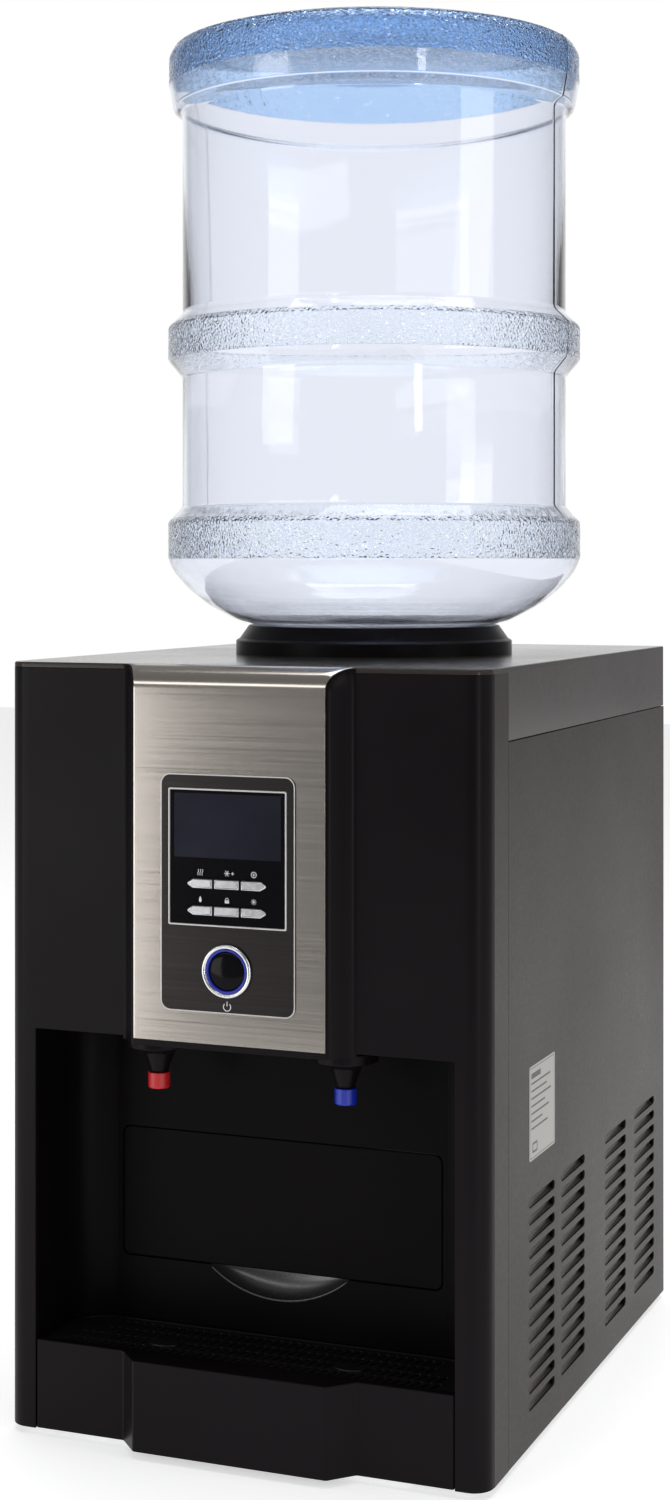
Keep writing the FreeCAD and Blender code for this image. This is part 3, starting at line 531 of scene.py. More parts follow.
FINISH = {
    "black_satin": moulded("satin_black_moulding", (0.0050, 0.0036, 0.0045), 0.36, 0.5, 0.012,
                           Specular_IOR_Level=0.09),
    "black_liner": moulded("liner_black_moulding", (0.0036, 0.0028, 0.0034), 0.36, 0.45, 0.015,
                           Specular_IOR_Level=0.045),
    "brushed_fascia": brushed("brushed_steel_fascia", (0.44, 0.405, 0.365), 0.17, 0.30, 70, 0.002, 0.10),
    "dark_brushed": brushed("dark_brushed_plate", (0.034, 0.030, 0.030), 0.32, 0.35, 50, 0.004, 0.3,
                            Anisotropic=0.6, Anisotropic_Rotation=0.25),
    "silver_trim": polished("satin_silver_trim", (0.50, 0.49, 0.48), 0.4),
    "black_gloss": moulded("gloss_black_window", (0.004, 0.0035, 0.0045), 0.12, 1.5, 0.002, 0.1, 0.03,
                           Specular_IOR_Level=0.08),
    "lcd_glass": screen_glass("display_glass"),
    "key_silver": painted("satin_silver_key", (0.55, 0.55, 0.56), 0.22, 0.25, 0.002, 0.12, 0.9),
    "chrome": polished("polished_chrome", (0.70, 0.70, 0.71), 0.2),
    "blue_light": glowing("blue_light_guide", (0.008, 0.018, 0.30), 0.12),
    "red_plastic": moulded("red_tap_tip", (0.50, 0.010, 0.014), 0.35),
    "blue_plastic": moulded("blue_tap_tip", (0.006, 0.022, 0.36), 0.35),
    "charcoal_paint": painted("charcoal_case_paint", (0.023, 0.0185, 0.016), 0.32, 0.45, 0.010, 0.25,
                              Specular_IOR_Level=0.07),
    "label_film": moulded("silver_label_film", (0.36, 0.345, 0.32), 0.4, 0.4, 0.004),
    "rubber": cast("foot_rubber", (0.02, 0.02, 0.02), 0.75, 0.9, 0.06),
    "zinc_plate": galvanised("zinc_plate", (0.45, 0.46, 0.47)),
    "screw_steel": polished("screw_steel", (0.45, 0.45, 0.46), 0.22),
    "board_green": circuit_board("green_circuit_board"),
    "white_plastic": moulded("white_moulding", (0.72, 0.72, 0.69), 0.42, 0.8, 0.02, 0.04),
    "tank_steel": brushed("tank_steel", (0.56, 0.56, 0.55), 0.3, 0.4, 40, 0.006, 0.12),
    "foam": cast("foam_jacket", (0.03, 0.03, 0.032), 0.9, 2.4, 0.4),
    "compressor_black": cast("compressor_paint", (0.013, 0.013, 0.014), 0.4, 3.0, 0.1),
    "coil_aluminium": brushed("coil_aluminium", (0.62, 0.62, 0.63), 0.35, 0.5, 8, 0.01, 0.15, axis=2),
    "bottle_clear": clear_wall("clear_bottle_wall"),
    "cap_blue": moulded("blue_bottle_cap", (0.04, 0.13, 0.5), 0.4),
    "hose_clear": moulded("milky_hose", (0.6, 0.6, 0.57), 0.35, 1.2, 0.02, 0.06),
}
COVER_PAINT = painted("charcoal_cover_paint", (0.034, 0.028, 0.025), 0.17, 0.45, 0.004, 0.3,
                      Specular_IOR_Level=0.20)
# Glossy black for the finger scoop, its base colour lifted well above the liner's black as a painted
# highlight on the bowl.
SCOOP_GLOSS_PAINTED_HIGHLIGHT = moulded("glossy_scoop_painted_highlight", (0.03, 0.028, 0.028), 0.25, 1.5, 0.002, Specular_IOR_Level=0.75)
GRILLE_BLACK = moulded("grille_black_moulding", (0.011, 0.009, 0.010), 0.3, 0.5, 0.01, Specular_IOR_Level=0.3)
PRINT_WHITE = moulded("white_print", (0.72, 0.72, 0.72), 0.5, 0.3, 0.004)
PRINT_GREY = moulded("grey_print", (0.06, 0.065, 0.07), 0.5, 0.3, 0.004)
FLOOR_FINISH = moulded("pale_floor", (0.88, 0.88, 0.88), 0.8, 2.0, 0.01, 0.01,
                       Emission_Color=(1, 1, 1, 1), Emission_Strength=0.55)
for part in frame["record"]["subparts"]:
    node = frame["nodes"][part["node"]]
    node.data.materials.clear()
    node.data.materials.append(FINISH[part["material_slot"]])


# ---- measures read from the frame, and those of the front's shape ----

cover_low, cover_high = place("top_cover")
bezel_low, bezel_high = place("front_bezel")
fascia_low = place("steel_fascia")[0]
plate_low, plate_high = place("control_plate")
HALF_WIDE = cover_high[0]
FACE = cover_low[1]
TOP = cover_high[2]
BASE = bezel_low[2]
RETURN = bezel_high[1]
MODULE_OUT = FACE - bezel_low[1]
MODULE_HALF, FLANK_HALF, MODULE_BASE = 59.5, 73.0, 239.0
FASCIA_THICK, BEND, FLARE = 1.0, 13.5, 12.0
CORNER, WALL = 12.0, 3.0
PAINT_LINE = FACE + CORNER + 0.5
liner_low, liner_high = place("dispensing_alcove")
LINER = 2.0
OPENING_HALF, OPENING_TOP = liner_high[0] - LINER, liner_high[2] - LINER
tray_low, tray_high = place("drip_tray")
LINER_CORNER = 25.0
ALCOVE_BACK = place("drawer_front")[0][1]


def protrusion(z):
    """How far the middle module stands out: constant, then a quarter circle over the top bend."""
    rise = np.clip((z - (TOP - BEND)) / BEND, 0, 1)
    return (MODULE_OUT + 0.5) * np.sqrt(1 - rise ** 2) - 0.5 * (rise < 1)


def flank_share(x):
    """Share of the protrusion across the front: one in the middle, a smooth step down over each flank."""
    t = np.clip((np.abs(x) - MODULE_HALF) / (FLANK_HALF - MODULE_HALF), 0, 1)
    return 1 - t * t * (3 - 2 * t)


def bend_rows(top):
    """Heights up the top bend at even angles."""
    last = math.asin((top - (TOP - BEND)) / BEND)
    return TOP - BEND + BEND * np.sin(np.linspace(0, last, 9))[1:]


def front_frame():
    """Black front: a plan path, side, corner arc, face, smooth flank, module and back, at each height."""
    hole_half, hole_low, hole_high = 40.0, plate_low[2] + 2, plate_high[2] - 2
    turn = np.linspace(0, np.pi / 2, 10)
    side_y = np.array([PAINT_LINE, PAINT_LINE - 0.4])
    arc_x = HALF_WIDE - CORNER + CORNER * np.cos(turn)
    arc_y = FACE + CORNER - CORNER * np.sin(turn)
    face_x = np.concatenate([
        np.linspace(HALF_WIDE - CORNER, OPENING_HALF, 3)[1:], np.linspace(OPENING_HALF, FLANK_HALF, 6)[1:],
        np.linspace(FLANK_HALF, MODULE_HALF, 18)[1:], [50, hole_half, 20, 0]])
    right_x = np.concatenate([np.full(1, HALF_WIDE), arc_x, face_x])
    right_y = np.concatenate([side_y[:1], arc_y, np.full(len(face_x), FACE)])
    x = np.concatenate([-right_x, right_x[-2::-1]])
    y = np.concatenate([right_y, right_y[-2::-1]])
    top_rows = bend_rows(TOP - 0.4)
    z = np.concatenate([[BASE, 80, 160, MODULE_BASE, OPENING_TOP, hole_low, 320, hole_high, TOP - BEND],
                        top_rows, [bezel_high[2]]])
    z.sort()
    stand = protrusion(z)[None, :] * flank_share(x)[:, None] * (y <= FACE + 0.01)[:, None]
    points = points_at(x[:, None], y[:, None] - stand, z)
    across = np.abs(x[:-1] + x[1:])[:, None] / 2
    up = ((z[:-1] + z[1:]) / 2)[None, :]
    keep = (across > OPENING_HALF) | (up > OPENING_TOP) | ((across < FLANK_HALF) & (up > MODULE_BASE))
    keep &= ~((across < hole_half) & (up > hole_low) & (up < hole_high))
    keep &= ~((across > FLANK_HALF) & (up > bezel_high[2]))
    thing = piece("front_frame", grid(points, keep=keep), "black_satin", stands_for=["front_bezel"],
                  weighted=False)
    thickened(thing, WALL, 0.7)
    lip_x = np.linspace(-FLANK_HALF, FLANK_HALF, 60)
    lip = np.stack([lip_x, FACE - (MODULE_OUT - 1) * flank_share(lip_x)], 1)
    lip = np.concatenate([lip, [(FLANK_HALF, FACE + WALL), (-FLANK_HALF, FACE + WALL)]])
    piece("module_underside", slab([lip], MODULE_BASE + 0.2, OPENING_TOP + 1), "black_satin")


def side_returns():
    """Painted strip down each side, between the black corner and the side panel's seam."""
    strips = []
    for x0, x1 in ((-HALF_WIDE, 1.2 - HALF_WIDE), (HALF_WIDE - 1.2, HALF_WIDE)):
        strips.append(slab([rectangle(x0, x1, PAINT_LINE + 0.3, RETURN)], BASE, bezel_high[2]))
    piece("side_returns", combined(*strips), "charcoal_paint")


def steel_fascia():
    """Steel sheet: flat face and quarter-circle bend, its half width flaring on an arc at the top."""
    hole_half, hole_low, hole_high = 38.5, plate_low[2] + 4, plate_high[2] - 4
    z = np.concatenate([[fascia_low[2], hole_low, 330, hole_high, 430, TOP - BEND], bend_rows(TOP - 0.02)])
    flare_rise = np.clip(z - (TOP - FLARE), 0, FLARE)
    half = MODULE_HALF + FLARE - np.sqrt(FLARE ** 2 - flare_rise ** 2)
    share = np.concatenate([[0, hole_half / MODULE_HALF], np.linspace(0.8, 1, 12)])
    share = np.concatenate([-share[:0:-1], share])
    x = share[:, None] * half[None, :]
    inner = np.abs(share) <= hole_half / MODULE_HALF
    x[inner] = share[inner, None] * MODULE_HALF
    stand = protrusion(z)[None, :] * flank_share(x) + FASCIA_THICK * (1 - 0.95 * (flare_rise / FLARE) ** 8)
    points = points_at(x, FACE - stand, z)
    across = np.abs(share[:-1] + share[1:])[:, None] / 2 * MODULE_HALF
    up = ((z[:-1] + z[1:]) / 2)[None, :]
    keep = ~((across < hole_half) & (up > hole_low) & (up < hole_high))
    thing = piece("brushed_fascia", grid(points, keep=keep), "brushed_fascia",
                  stands_for=["steel_fascia"], weighted=False)
    thickened(thing, FASCIA_THICK * 0.9, 0.3)


KEY_ROWS = (("heat_key", "ice_key", "chill_key"), ("hot_key", "lock_key", "cool_key"))


def key_outline(node, gap=0.0):
    """Key seen from the front: its outer end comes to a blunt point, the middle keys are square."""
    low, high = place(node)
    x0, x1, z0, z1 = low[0] - gap, high[0] + gap, low[2] - gap, high[2] + gap
    middle, point, blunt = (z0 + z1) / 2, 3.4, 0.7
    if x0 + x1 < -5:
        corners = [(x0, middle - blunt), (x0 + point, z0), (x1, z0), (x1, z1), (x0 + point, z1),
                   (x0, middle + blunt)]
    elif x0 + x1 > 5:
        corners = [(x0, z0), (x1 - point, z0), (x1, middle - blunt), (x1, middle + blunt),
                   (x1 - point, z1), (x0, z1)]
    else:
        corners = [(x0, z0), (x1, z0), (x1, z1), (x0, z1)]
    return rounded(corners, 0.5, 3)


def control_panel():
    """Dark plate with its bright rim, silver frame, black window with key holes, screen and rings."""
    ring_low, ring_high = place("power_ring_chrome")
    light_low, light_high = place("power_ring_light")
    button_low, button_high = place("power_button")
    frame_low, frame_high = place("display_frame")
    screen_low, screen_high = place("lcd_screen")
    middle = centre_of("power_ring_chrome")[2]
    chrome, glow, cap = ring_high[0], light_high[0], button_high[0]
    corner, rim, line = 6, 0.7, 1.2
    edge = box_outline(plate_low, plate_high, 0, corner, 8)
    bay = box_outline(frame_low, frame_high, 0.1, 1)
    well = oval(0, middle, chrome + 0.1, chrome + 0.1, 72)
    piece("control_plate_panel", slab([edge, bay, well], -plate_high[1], -plate_low[1], "front", 0.2),
          "dark_brushed", stands_for=["control_plate"])
    inner = box_outline(plate_low, plate_high, -rim, corner - rim, 8)
    piece("control_plate_rim", slab([edge, inner], -plate_low[1] - 0.1, 0.12 - plate_low[1], "front", 0.1),
          "silver_trim")

    bar = box_outline(frame_low, frame_high, 0, line)
    gap = box_outline(frame_low, frame_high, -line, 0.5)
    piece("display_surround", slab([bar, gap], -frame_high[1], -frame_low[1], "front", 0.4),
          "silver_trim", stands_for=["display_frame"])
    pane_low, pane_high = place("display_window")
    glass = box_outline(screen_low, screen_high, 0, 0.4)
    holes = [key_outline(node, 0.35) for row in KEY_ROWS for node in row]
    piece("gloss_window", slab([gap, glass] + holes, -pane_high[1], -pane_low[1], "front", 0.15),
          "black_gloss", stands_for=["display_window"])
    piece("screen", slab([glass], -screen_high[1], -screen_low[1] - 0.1, "front"), "lcd_glass",
          stands_for=["lcd_screen"])

    front, back = -ring_low[1], -ring_high[1]
    hump = np.linspace(0, np.pi, 13)
    band = (chrome - glow) / 2
    crown = np.stack([(chrome + glow) / 2 + band * np.cos(hump), front - 1.2 + 1.2 * np.sin(hump)], 1)
    profile = np.concatenate([[(chrome, back)], crown, [(glow, back)]])
    piece("power_ring", turned(profile, 0, middle, 96, True, "front"), "chrome",
          stands_for=["power_ring_chrome"])
    light_inner = cap + 0.3
    crown = np.stack([(glow + light_inner) / 2 + (glow - light_inner) / 2 * np.cos(hump),
                      -light_low[1] - 0.5 + 0.5 * np.sin(hump)], 1)
    profile = np.concatenate([[(glow - 0.05, -light_high[1])], crown, [(light_inner, -light_high[1])]])
    piece("power_light", turned(profile, 0, middle, 96, True, "front"), "blue_light",
          stands_for=["power_ring_light"])
    swell = np.linspace(0, np.pi / 2, 14)
    dome = np.stack([cap * np.cos(swell), -button_low[1] - 1.5 + 1.5 * np.sin(swell)], 1)
    profile = np.concatenate([[(0, -button_high[1]), (cap, -button_high[1])], dome])
    piece("power_cap", turned(profile, 0, middle, 72, False, "front"), "black_gloss", "power_button",
          ["power_button"])


def keys():
    """Six keys: each outline's edge turns over on a quarter circle to the flat face."""
    for row in KEY_ROWS:
        for node in row:
            low, high = place(node)
            cap = slab([key_outline(node)], -high[1], -low[1], "front", 0.9, 0, 5)
            piece(node + "_cap", cap, "key_silver", node, [node])


def flat_bar(x0, z0, x1, z1, width):
    """Printed stroke: a rectangle round the line between two points."""
    start, end = np.array([x0, z0]), np.array([x1, z1])
    run = end - start
    side = np.array([-run[1], run[0]]) / np.linalg.norm(run) * width / 2
    return [np.array([start - side, end - side, end + side, start + side])]


def ring_mark(x, z, radius, width):
    """Ring: a circle with a smaller circle as its hole."""
    return [oval(x, z, radius, radius, 28), oval(x, z, radius - width, radius - width, 28)]


def star_mark(x, z, radius, arms, width):
    """Strokes crossing at one point, evenly turned."""
    marks = []
    for arm in range(arms):
        turn = math.pi * arm / arms
        across, up = radius * math.cos(turn), radius * math.sin(turn)
        marks.append(flat_bar(x - across, z - up, x + across, z + up, width))
    return marks


def drop_mark(x, z, size):
    """Drop: radius times one minus the cosine, drawn up to a point."""
    turn = full_turn(28)
    return [np.stack([x + size * 0.62 * np.sin(turn) * np.sin(turn / 2), z + size * np.cos(turn)], 1)]


def wave_marks(x, z, size, count):
    """Rising waves: upright strokes whose middle line is a sine."""
    marks = []
    for number in range(count):
        rise = np.linspace(-size, size, 14)
        middle = x + (number - (count - 1) / 2) * size * 0.75 + size * 0.16 * np.sin(rise * np.pi / size)
        left = np.stack([middle - 0.16, z + rise], 1)
        right = np.stack([middle + 0.16, z + rise], 1)[::-1]
        marks.append([np.concatenate([left, right])])
    return marks


def printed_marks():
    """Small generic signs: heat, ice, chill, hot drop, padlock, cool, and the power sign below."""
    rise, size, stroke, plus = 6.4, 1.75, 0.38, 0.9
    at = {node: (centre_of(node)[0], centre_of(node)[2] + rise) for row in KEY_ROWS for node in row}
    groups = wave_marks(*at["heat_key"], size, 3)
    groups += star_mark(*at["ice_key"], size, 3, stroke)
    plus_x, plus_z = at["ice_key"][0] + 3.5, at["ice_key"][1]
    groups += [flat_bar(plus_x - plus, plus_z, plus_x + plus, plus_z, stroke),
               flat_bar(plus_x, plus_z - plus, plus_x, plus_z + plus, stroke)]
    groups += [ring_mark(*at["chill_key"], size, stroke)]
    groups += star_mark(*at["chill_key"], size * 0.5, 2, stroke)
    groups += [drop_mark(*at["hot_key"], size)]
    lock_x, lock_z = at["lock_key"]
    groups += [[rectangle(lock_x - 1.3, lock_x + 1.3, lock_z - 1.6, lock_z + 0.2, 0.2)],
               ring_mark(lock_x, lock_z + 0.5, 1.0, stroke * 0.8)]
    groups += star_mark(*at["cool_key"], size, 4, stroke * 0.7)
    front = -place("display_window")[0][1]
    marks = [slab(loops, front - 0.1, front + 0.05, "front") for loops in groups]
    sign_z = place("power_ring_chrome")[0][2] - 5.0
    plate_front = -plate_low[1]
    gap = 0.75
    arc = np.linspace(gap, 2 * np.pi - gap, 30)
    outer = np.stack([2.5 * np.sin(arc), sign_z + 2.5 * np.cos(arc)], 1)
    inner = np.stack([2.0 * np.sin(arc), sign_z + 2.0 * np.cos(arc)], 1)[::-1]
    for loops in ([np.concatenate([outer, inner])], flat_bar(0, sign_z + 0.4, 0, sign_z + 3.1, 0.5)):
        marks.append(slab(loops, plate_front - 0.1, plate_front + 0.05, "front"))
    piece("printed_signs", combined(*marks), None, finish=PRINT_WHITE, weighted=False)


def alcove():
    """Liner: rounded side walls, back wall with the drawer's hole and the scoop's crescent, roof, floor.

    The scoop goes in on a sine and up on one minus a cosine from the crescent's edge. Its lip is a bead of
    circles that shrink towards the crescent's ends.
    """
    front, back = FACE + WALL, ALCOVE_BACK
    door_low, door_high = place("drawer_front")
    gap, scoop_radius, scoop_z = 0.5, 69.1, 146.5
    half = door_high[0] + gap
    edge_z = door_low[2] - gap
    reach = math.acos((scoop_z - edge_z) / scoop_radius)
    swing = np.linspace(-reach, reach, 36)
    crescent = np.stack([scoop_radius * np.sin(swing), scoop_z - scoop_radius * np.cos(swing)], 1)
    corners = rectangle(-half, half, edge_z, door_high[2] + gap, 5, 6)
    corners = corners[~((np.abs(corners[:, 0]) < half - 5) & (corners[:, 1] < edge_z + 0.1))]
    order = np.argsort(np.arctan2(corners[:, 0], -(corners[:, 1] - 130)))
    door_hole = np.concatenate([crescent, corners[order][corners[order][:, 0] > 0],
                                corners[order][corners[order][:, 0] < 0]])
    flat = OPENING_HALF - LINER_CORNER
    wall = rectangle(-flat, flat, liner_low[2], OPENING_TOP)
    shapes = [slab([wall, door_hole], -back - LINER, -back, "front")]
    for side in (-1, 1):
        inner = open_path([(side * OPENING_HALF, front), (side * OPENING_HALF, back),
                           (side * flat * 0.999, back)], LINER_CORNER * 0.999, 16)
        outer = open_path([(side * (OPENING_HALF + LINER), front),
                           (side * (OPENING_HALF + LINER), back + LINER), (side * flat, back + LINER)],
                          LINER_CORNER, 16)
        shapes.append(slab([np.concatenate([inner, outer[::-1]])], liner_low[2], OPENING_TOP))
    nozzle_x, nozzle_y = centre_of("cold_nozzle")[:2]
    ring = tub(OPENING_HALF + LINER, front, back + LINER, LINER_CORNER + LINER)
    spouts = [oval(side * nozzle_x, nozzle_y, 6, 6) for side in (-1, 1)]
    shapes.append(slab([ring] + spouts, OPENING_TOP, OPENING_TOP + LINER))
    shapes.append(slab([ring], liner_low[2], liner_low[2] + LINER))
    piece("alcove_liner", combined(*shapes), "black_liner", stands_for=["dispensing_alcove"])

    deep = 11.0
    rise = np.linspace(0, np.pi / 2, 16)[None, :]
    x = (scoop_radius * np.sin(swing))[:, None]
    low_z = (scoop_z - scoop_radius * np.cos(swing))[:, None]
    share = np.sqrt(np.clip(1 - (swing / reach) ** 2, 0, 1))[:, None]
    y = back + 0.6 + (deep - 0.6) * share * np.sin(rise)
    z = low_z + (edge_z - low_z) * (1 - np.cos(rise))
    # The scoop and its lip take the lightened glossy black, a painted highlight.
    scoop = piece("finger_scoop", grid(points_at(x, y, z)), "black_gloss", finish=SCOOP_GLOSS_PAINTED_HIGHLIGHT,
                  weighted=False)
    scoop.modifiers.new("wall", "SOLIDIFY").thickness = 1.2 * MM
    around = full_turn(12)[None, :]
    bead_radius = 0.9 * share ** 0.5
    reach_out = bead_radius * np.cos(around)
    bead = points_at(x + reach_out * np.sin(swing)[:, None], back - bead_radius * np.sin(around),
                     low_z - reach_out * np.cos(swing)[:, None])
    piece("scoop_lip", grid(bead, wrap_v=True), "black_gloss", finish=SCOOP_GLOSS_PAINTED_HIGHLIGHT, weighted=False)


def drawer_and_tray():
    """Drawer front, tray with its swelling front, and the grille with slanted slots."""
    low, high = place("drawer_front")
    panel = slab([box_outline(low, high, 0, 5)], -high[1], -low[1], "front", 0.8, 0.3)
    piece("ice_drawer_front", panel, "black_liner", "ice_drawer", ["drawer_front"])
    half, top, base = tray_high[0], tray_high[2], tray_low[2]
    bump_half, bump_face = 60.0, tray_low[1]
    back, basin_base, ledge = tray_high[1], 10.3, 52.2
    corners = [(-half, FACE), (-FLANK_HALF, FACE), (-bump_half, bump_face), (bump_half, bump_face),
               (FLANK_HALF, FACE), (half, FACE), (half, back), (-half, back)]
    turns = [1.5, 3, 3, 3, 3, 1.5]
    outline = rounded(corners, turns + [LINER_CORNER, LINER_CORNER], 8)
    well = tub(half - 6.5, FACE + 10, back - 6.5, LINER_CORNER - 6.5)
    rim = tub(half - 2.5, FACE + 6, back - 2.5, LINER_CORNER - 2.5)
    skirt = rounded(corners[:6] + [(half, FACE + WALL), (-half, FACE + WALL)], turns + [0, 0], 8)
    shapes = [slab([outline, rim], ledge, top, top=0.8), slab([outline, well], basin_base, ledge),
              slab([skirt], base, basin_base, bottom=0.5), slab([well], basin_base, basin_base + 2.5)]
    piece("catch_tray", combined(*shapes), "black_liner", "drip_tray", ["drip_tray"],
          finish=FINISH["black_satin"])

    low, high = place("drip_grille")
    pitch, wide, lean, long = 5.6, 2.5, 4.0, 9.0
    corner = LINER_CORNER - 2.9
    loops = [tub(high[0], low[1], high[1], corner)]
    first_row, row_step = low[1] + 2.6, 12.0
    for row in range(4):
        y0 = first_row + row * row_step
        count = 42 if y0 + long < high[1] - corner else 38
        for x0 in (np.arange(count) - (count - 1) / 2) * pitch - lean / 2 - wide / 2:
            slot = [(x0, y0), (x0 + wide, y0), (x0 + wide + lean, y0 + long), (x0 + lean, y0 + long)]
            loops.append(rounded(slot, 0.9, 2))
    shapes = [slab(loops, low[2], high[2], top=0.3, steps=2)]
    spot_x, spot_y = centre_of("cold_nozzle")[:2]
    for side in (-1, 1):
        shapes.append(slab([oval(side * spot_x, spot_y + 6, 10, 6)], high[2] - 1, high[2] + 0.7, top=0.6))
    piece("slotted_grille", combined(*shapes), "black_liner", "drip_grille", ["drip_grille"],
          finish=GRILLE_BLACK)


def taps():
    """Nozzles and coloured tips, turned on their own axes with rounded shoulders."""
    for name, tip in (("hot", "red_plastic"), ("cold", "blue_plastic")):
        low, high = place(name + "_nozzle")
        x, y = centre_of(name + "_nozzle")[:2]
        corners = [(3, low[2]), (5, low[2]), (9.5, 230), (18.8, 233), (18.8, OPENING_TOP - 2),
                   (12, OPENING_TOP - 2), (12, OPENING_TOP), (5.7, OPENING_TOP), (5.7, high[2]), (3, high[2])]
        profile = rounded(corners, [0, 0.6, 3, 1, 0.6, 0, 0, 0, 0.5, 0], 5)
        piece(name + "_spout", turned(profile, x, y, 64, True), "black_liner",
              stands_for=[name + "_nozzle"], finish=FINISH["black_satin"])
        low, high = place(name + "_nozzle_tip")
        radius = (high[0] - low[0]) / 2
        profile = rounded([(3, low[2]), (radius, low[2]), (radius, high[2]), (3, high[2])],
                          [0.6, 1.2, 0.5, 0], 6)
        piece(name + "_tip", turned(profile, x, y, 48, True), tip, stands_for=[name + "_nozzle_tip"])


def louvres(facing, columns, rows, slot_high, depth):
    """Pressed pockets: depth grows along each slot from nothing to its rounded rear end."""
    u, v = np.linspace(0, 1, 13), np.linspace(-1, 1, 7)
    shapes = []
    ramp = depth * np.sqrt(u)[:, None] * np.sqrt(np.clip(1 - (0.98 * v[None, :]) ** 2, 0, 1))
    for start, end in columns:
        for z in rows:
            across = start + (end - start) * u[:, None]
            shapes.append(grid(points_at(across, z + slot_high / 2 * v, HALF_WIDE - 0.15 - ramp)))
    points, faces = combined(*shapes)
    return turned_to(points, facing), faces


def side_panels():
    """Side panels with four columns of louvres, each slot a rounded hole over a pressed pocket."""
    low, high = place("side_panel_right")
    columns = ((-122, -70), (-56, -4), (44, 96), (118, 172))
    first, pitch, slot_high, count = 27.15, 9.8, 5.5, 13
    rows = first + pitch * np.arange(count)
    for name, facing, side in (("side_panel_right", "right", 1), ("side_panel_left", "left", -1)):
        edge = sorted((side * low[1], side * high[1]))
        loops = [rectangle(edge[0], edge[1], low[2], high[2])]
        spans = [tuple(sorted((side * a, side * b))) for a, b in columns]
        for a, b in spans:
            loops += [rectangle(a, b, z - slot_high / 2, z + slot_high / 2, 2.6, 4) for z in rows]
        panel = slab(loops, HALF_WIDE - 1.2, HALF_WIDE, facing, 0.3, 0, 2)
        ends = spans if side > 0 else [(b, a) for a, b in spans]
        piece("louvred_" + name, panel, "charcoal_paint", stands_for=[name])
        pockets = louvres(facing, ends, rows, slot_high + 0.6, 3.2)
        if side < 0:
            pockets = pockets[0], [face[::-1] for face in pockets[1]]
        pocket = piece("louvre_pockets_" + facing, pockets, "charcoal_paint", weighted=False)
        pocket.modifiers.new("wall", "SOLIDIFY").thickness = 0.6 * MM


def top_and_label():
    """Folded top cover with its side skirts, and the label with plain bars."""
    low, high = place("top_cover")
    sheet, radius, well = 1.2, 1.5, 80
    rim = rectangle(low[0], high[0], low[1], high[1], [CORNER, CORNER, radius, radius], 10)
    hole = oval(0, place("bottle_collar")[0][1] + 90.5, well, well, 96)
    top_plate = slab([rim, hole], high[2] - 3, high[2], top=1.1)
    front = RETURN + 0.3
    skirt = [(low[0], front), (low[0] + sheet, front), (low[0] + sheet, high[1] - sheet),
             (high[0] - sheet, high[1] - sheet), (high[0] - sheet, front), (high[0], front),
             (high[0], high[1]), (low[0], high[1])]
    skirt = rounded(skirt, [0, 0, 0, 0, 0, 0, radius, radius], 4)
    piece("folded_top", combined(top_plate, slab([skirt], low[2], high[2] - 3)), "charcoal_paint",
          stands_for=["top_cover"], finish=COVER_PAINT)

    low, high = place("rating_label")
    out = high[0]
    film = slab([box_outline(low, high, 0, 2, 4, across=1)], HALF_WIDE, out, "right", 0.05)
    piece("rating_plate", film, "label_film", stands_for=["rating_label"])
    width, height = high[1] - low[1], high[2] - low[2]
    sunk, proud = out - 0.05, out + 0.03
    border = [box_outline(low, high, -1.2, 1.5, 4, across=1), box_outline(low, high, -1.6, 1.2, 4, across=1)]
    bars = [slab(border, sunk, proud, "right")]
    shares = (0.42, 0.86, 0.7, 0.9, 0.62, 0.8, 0.5, 0.74)
    for number, share in enumerate(shares):
        z = high[2] - 6 - number * (height - 20) / len(shares)
        thick = 1.6 if number == 0 else 0.55
        bar = rectangle(low[1] + 4, low[1] + 4 + share * (width - 8), z - thick, z + thick)
        bars.append(slab([bar], sunk, proud, "right"))
    bars.append(slab([rectangle(low[1] + 6, low[1] + 16, low[2] + 4, low[2] + 10, 1),
                      rectangle(low[1] + 7.2, low[1] + 14.8, low[2] + 5.2, low[2] + 8.8, 0.6)],
                     sunk, proud, "right"))
    piece("rating_bars", combined(*bars), None, finish=PRINT_GREY, weighted=False)


def collar():
    """Collar: a low ring, a step, the leaning cone and the funnel that falls to the well."""
    low, high = place("bottle_collar")
    radius = high[0]
    corners = [(radius, TOP), (radius, TOP + 8), (radius - 2.5, TOP + 9.5), (82, high[2]), (70, 473.6),
               (33, 450), (33, low[2]), (36, low[2]), (36, 448.2), (71, 470.4), (79, 470.4), (86, 463),
               (86, TOP)]
    profile = rounded(corners, [0, 1, 0.8, 0.8, 1.5, 1, 0.5, 0.5, 1, 1, 1, 1, 0], 4)
    piece("funnel_collar", turned(profile, 0, centre_of("bottle_collar")[1], 144, True), "black_satin",
          stands_for=["bottle_collar"])


# The bottle's bands lie outside BAND_FROM; the mould's seams are at SEAM and opposite it, in radians.
BAND_FROM = 120
SEAM, SEAM_WIDE = np.pi - 0.06, 0.004


def in_bands(height, radius):
    """Whether a point of the outer wall lies in one of the three bands."""
    inside = [(height > start) & (height < end) for start, end in BANDS]
    return np.any(inside, axis=0) & (radius > BAND_FROM)


def open_profile(corners, radii, step):
    """Rounded profile with its own points, and close even rows of them across the bands."""
    path = rounded(corners, np.array(radii, float), 5)
    length = np.concatenate([[0], np.cumsum(np.linalg.norm(np.diff(path, axis=0), axis=1))])
    even = np.arange(0, length[-1], step)
    close = in_bands(np.interp(even, length, path[:, 1]), np.interp(even, length, path[:, 0]))
    rows = np.unique(np.concatenate([length, even[close]]))
    rows = rows[np.diff(rows, prepend=-1) > 0.15]
    return np.stack([np.interp(rows, length, path[:, 0]), np.interp(rows, length, path[:, 1])], 1)


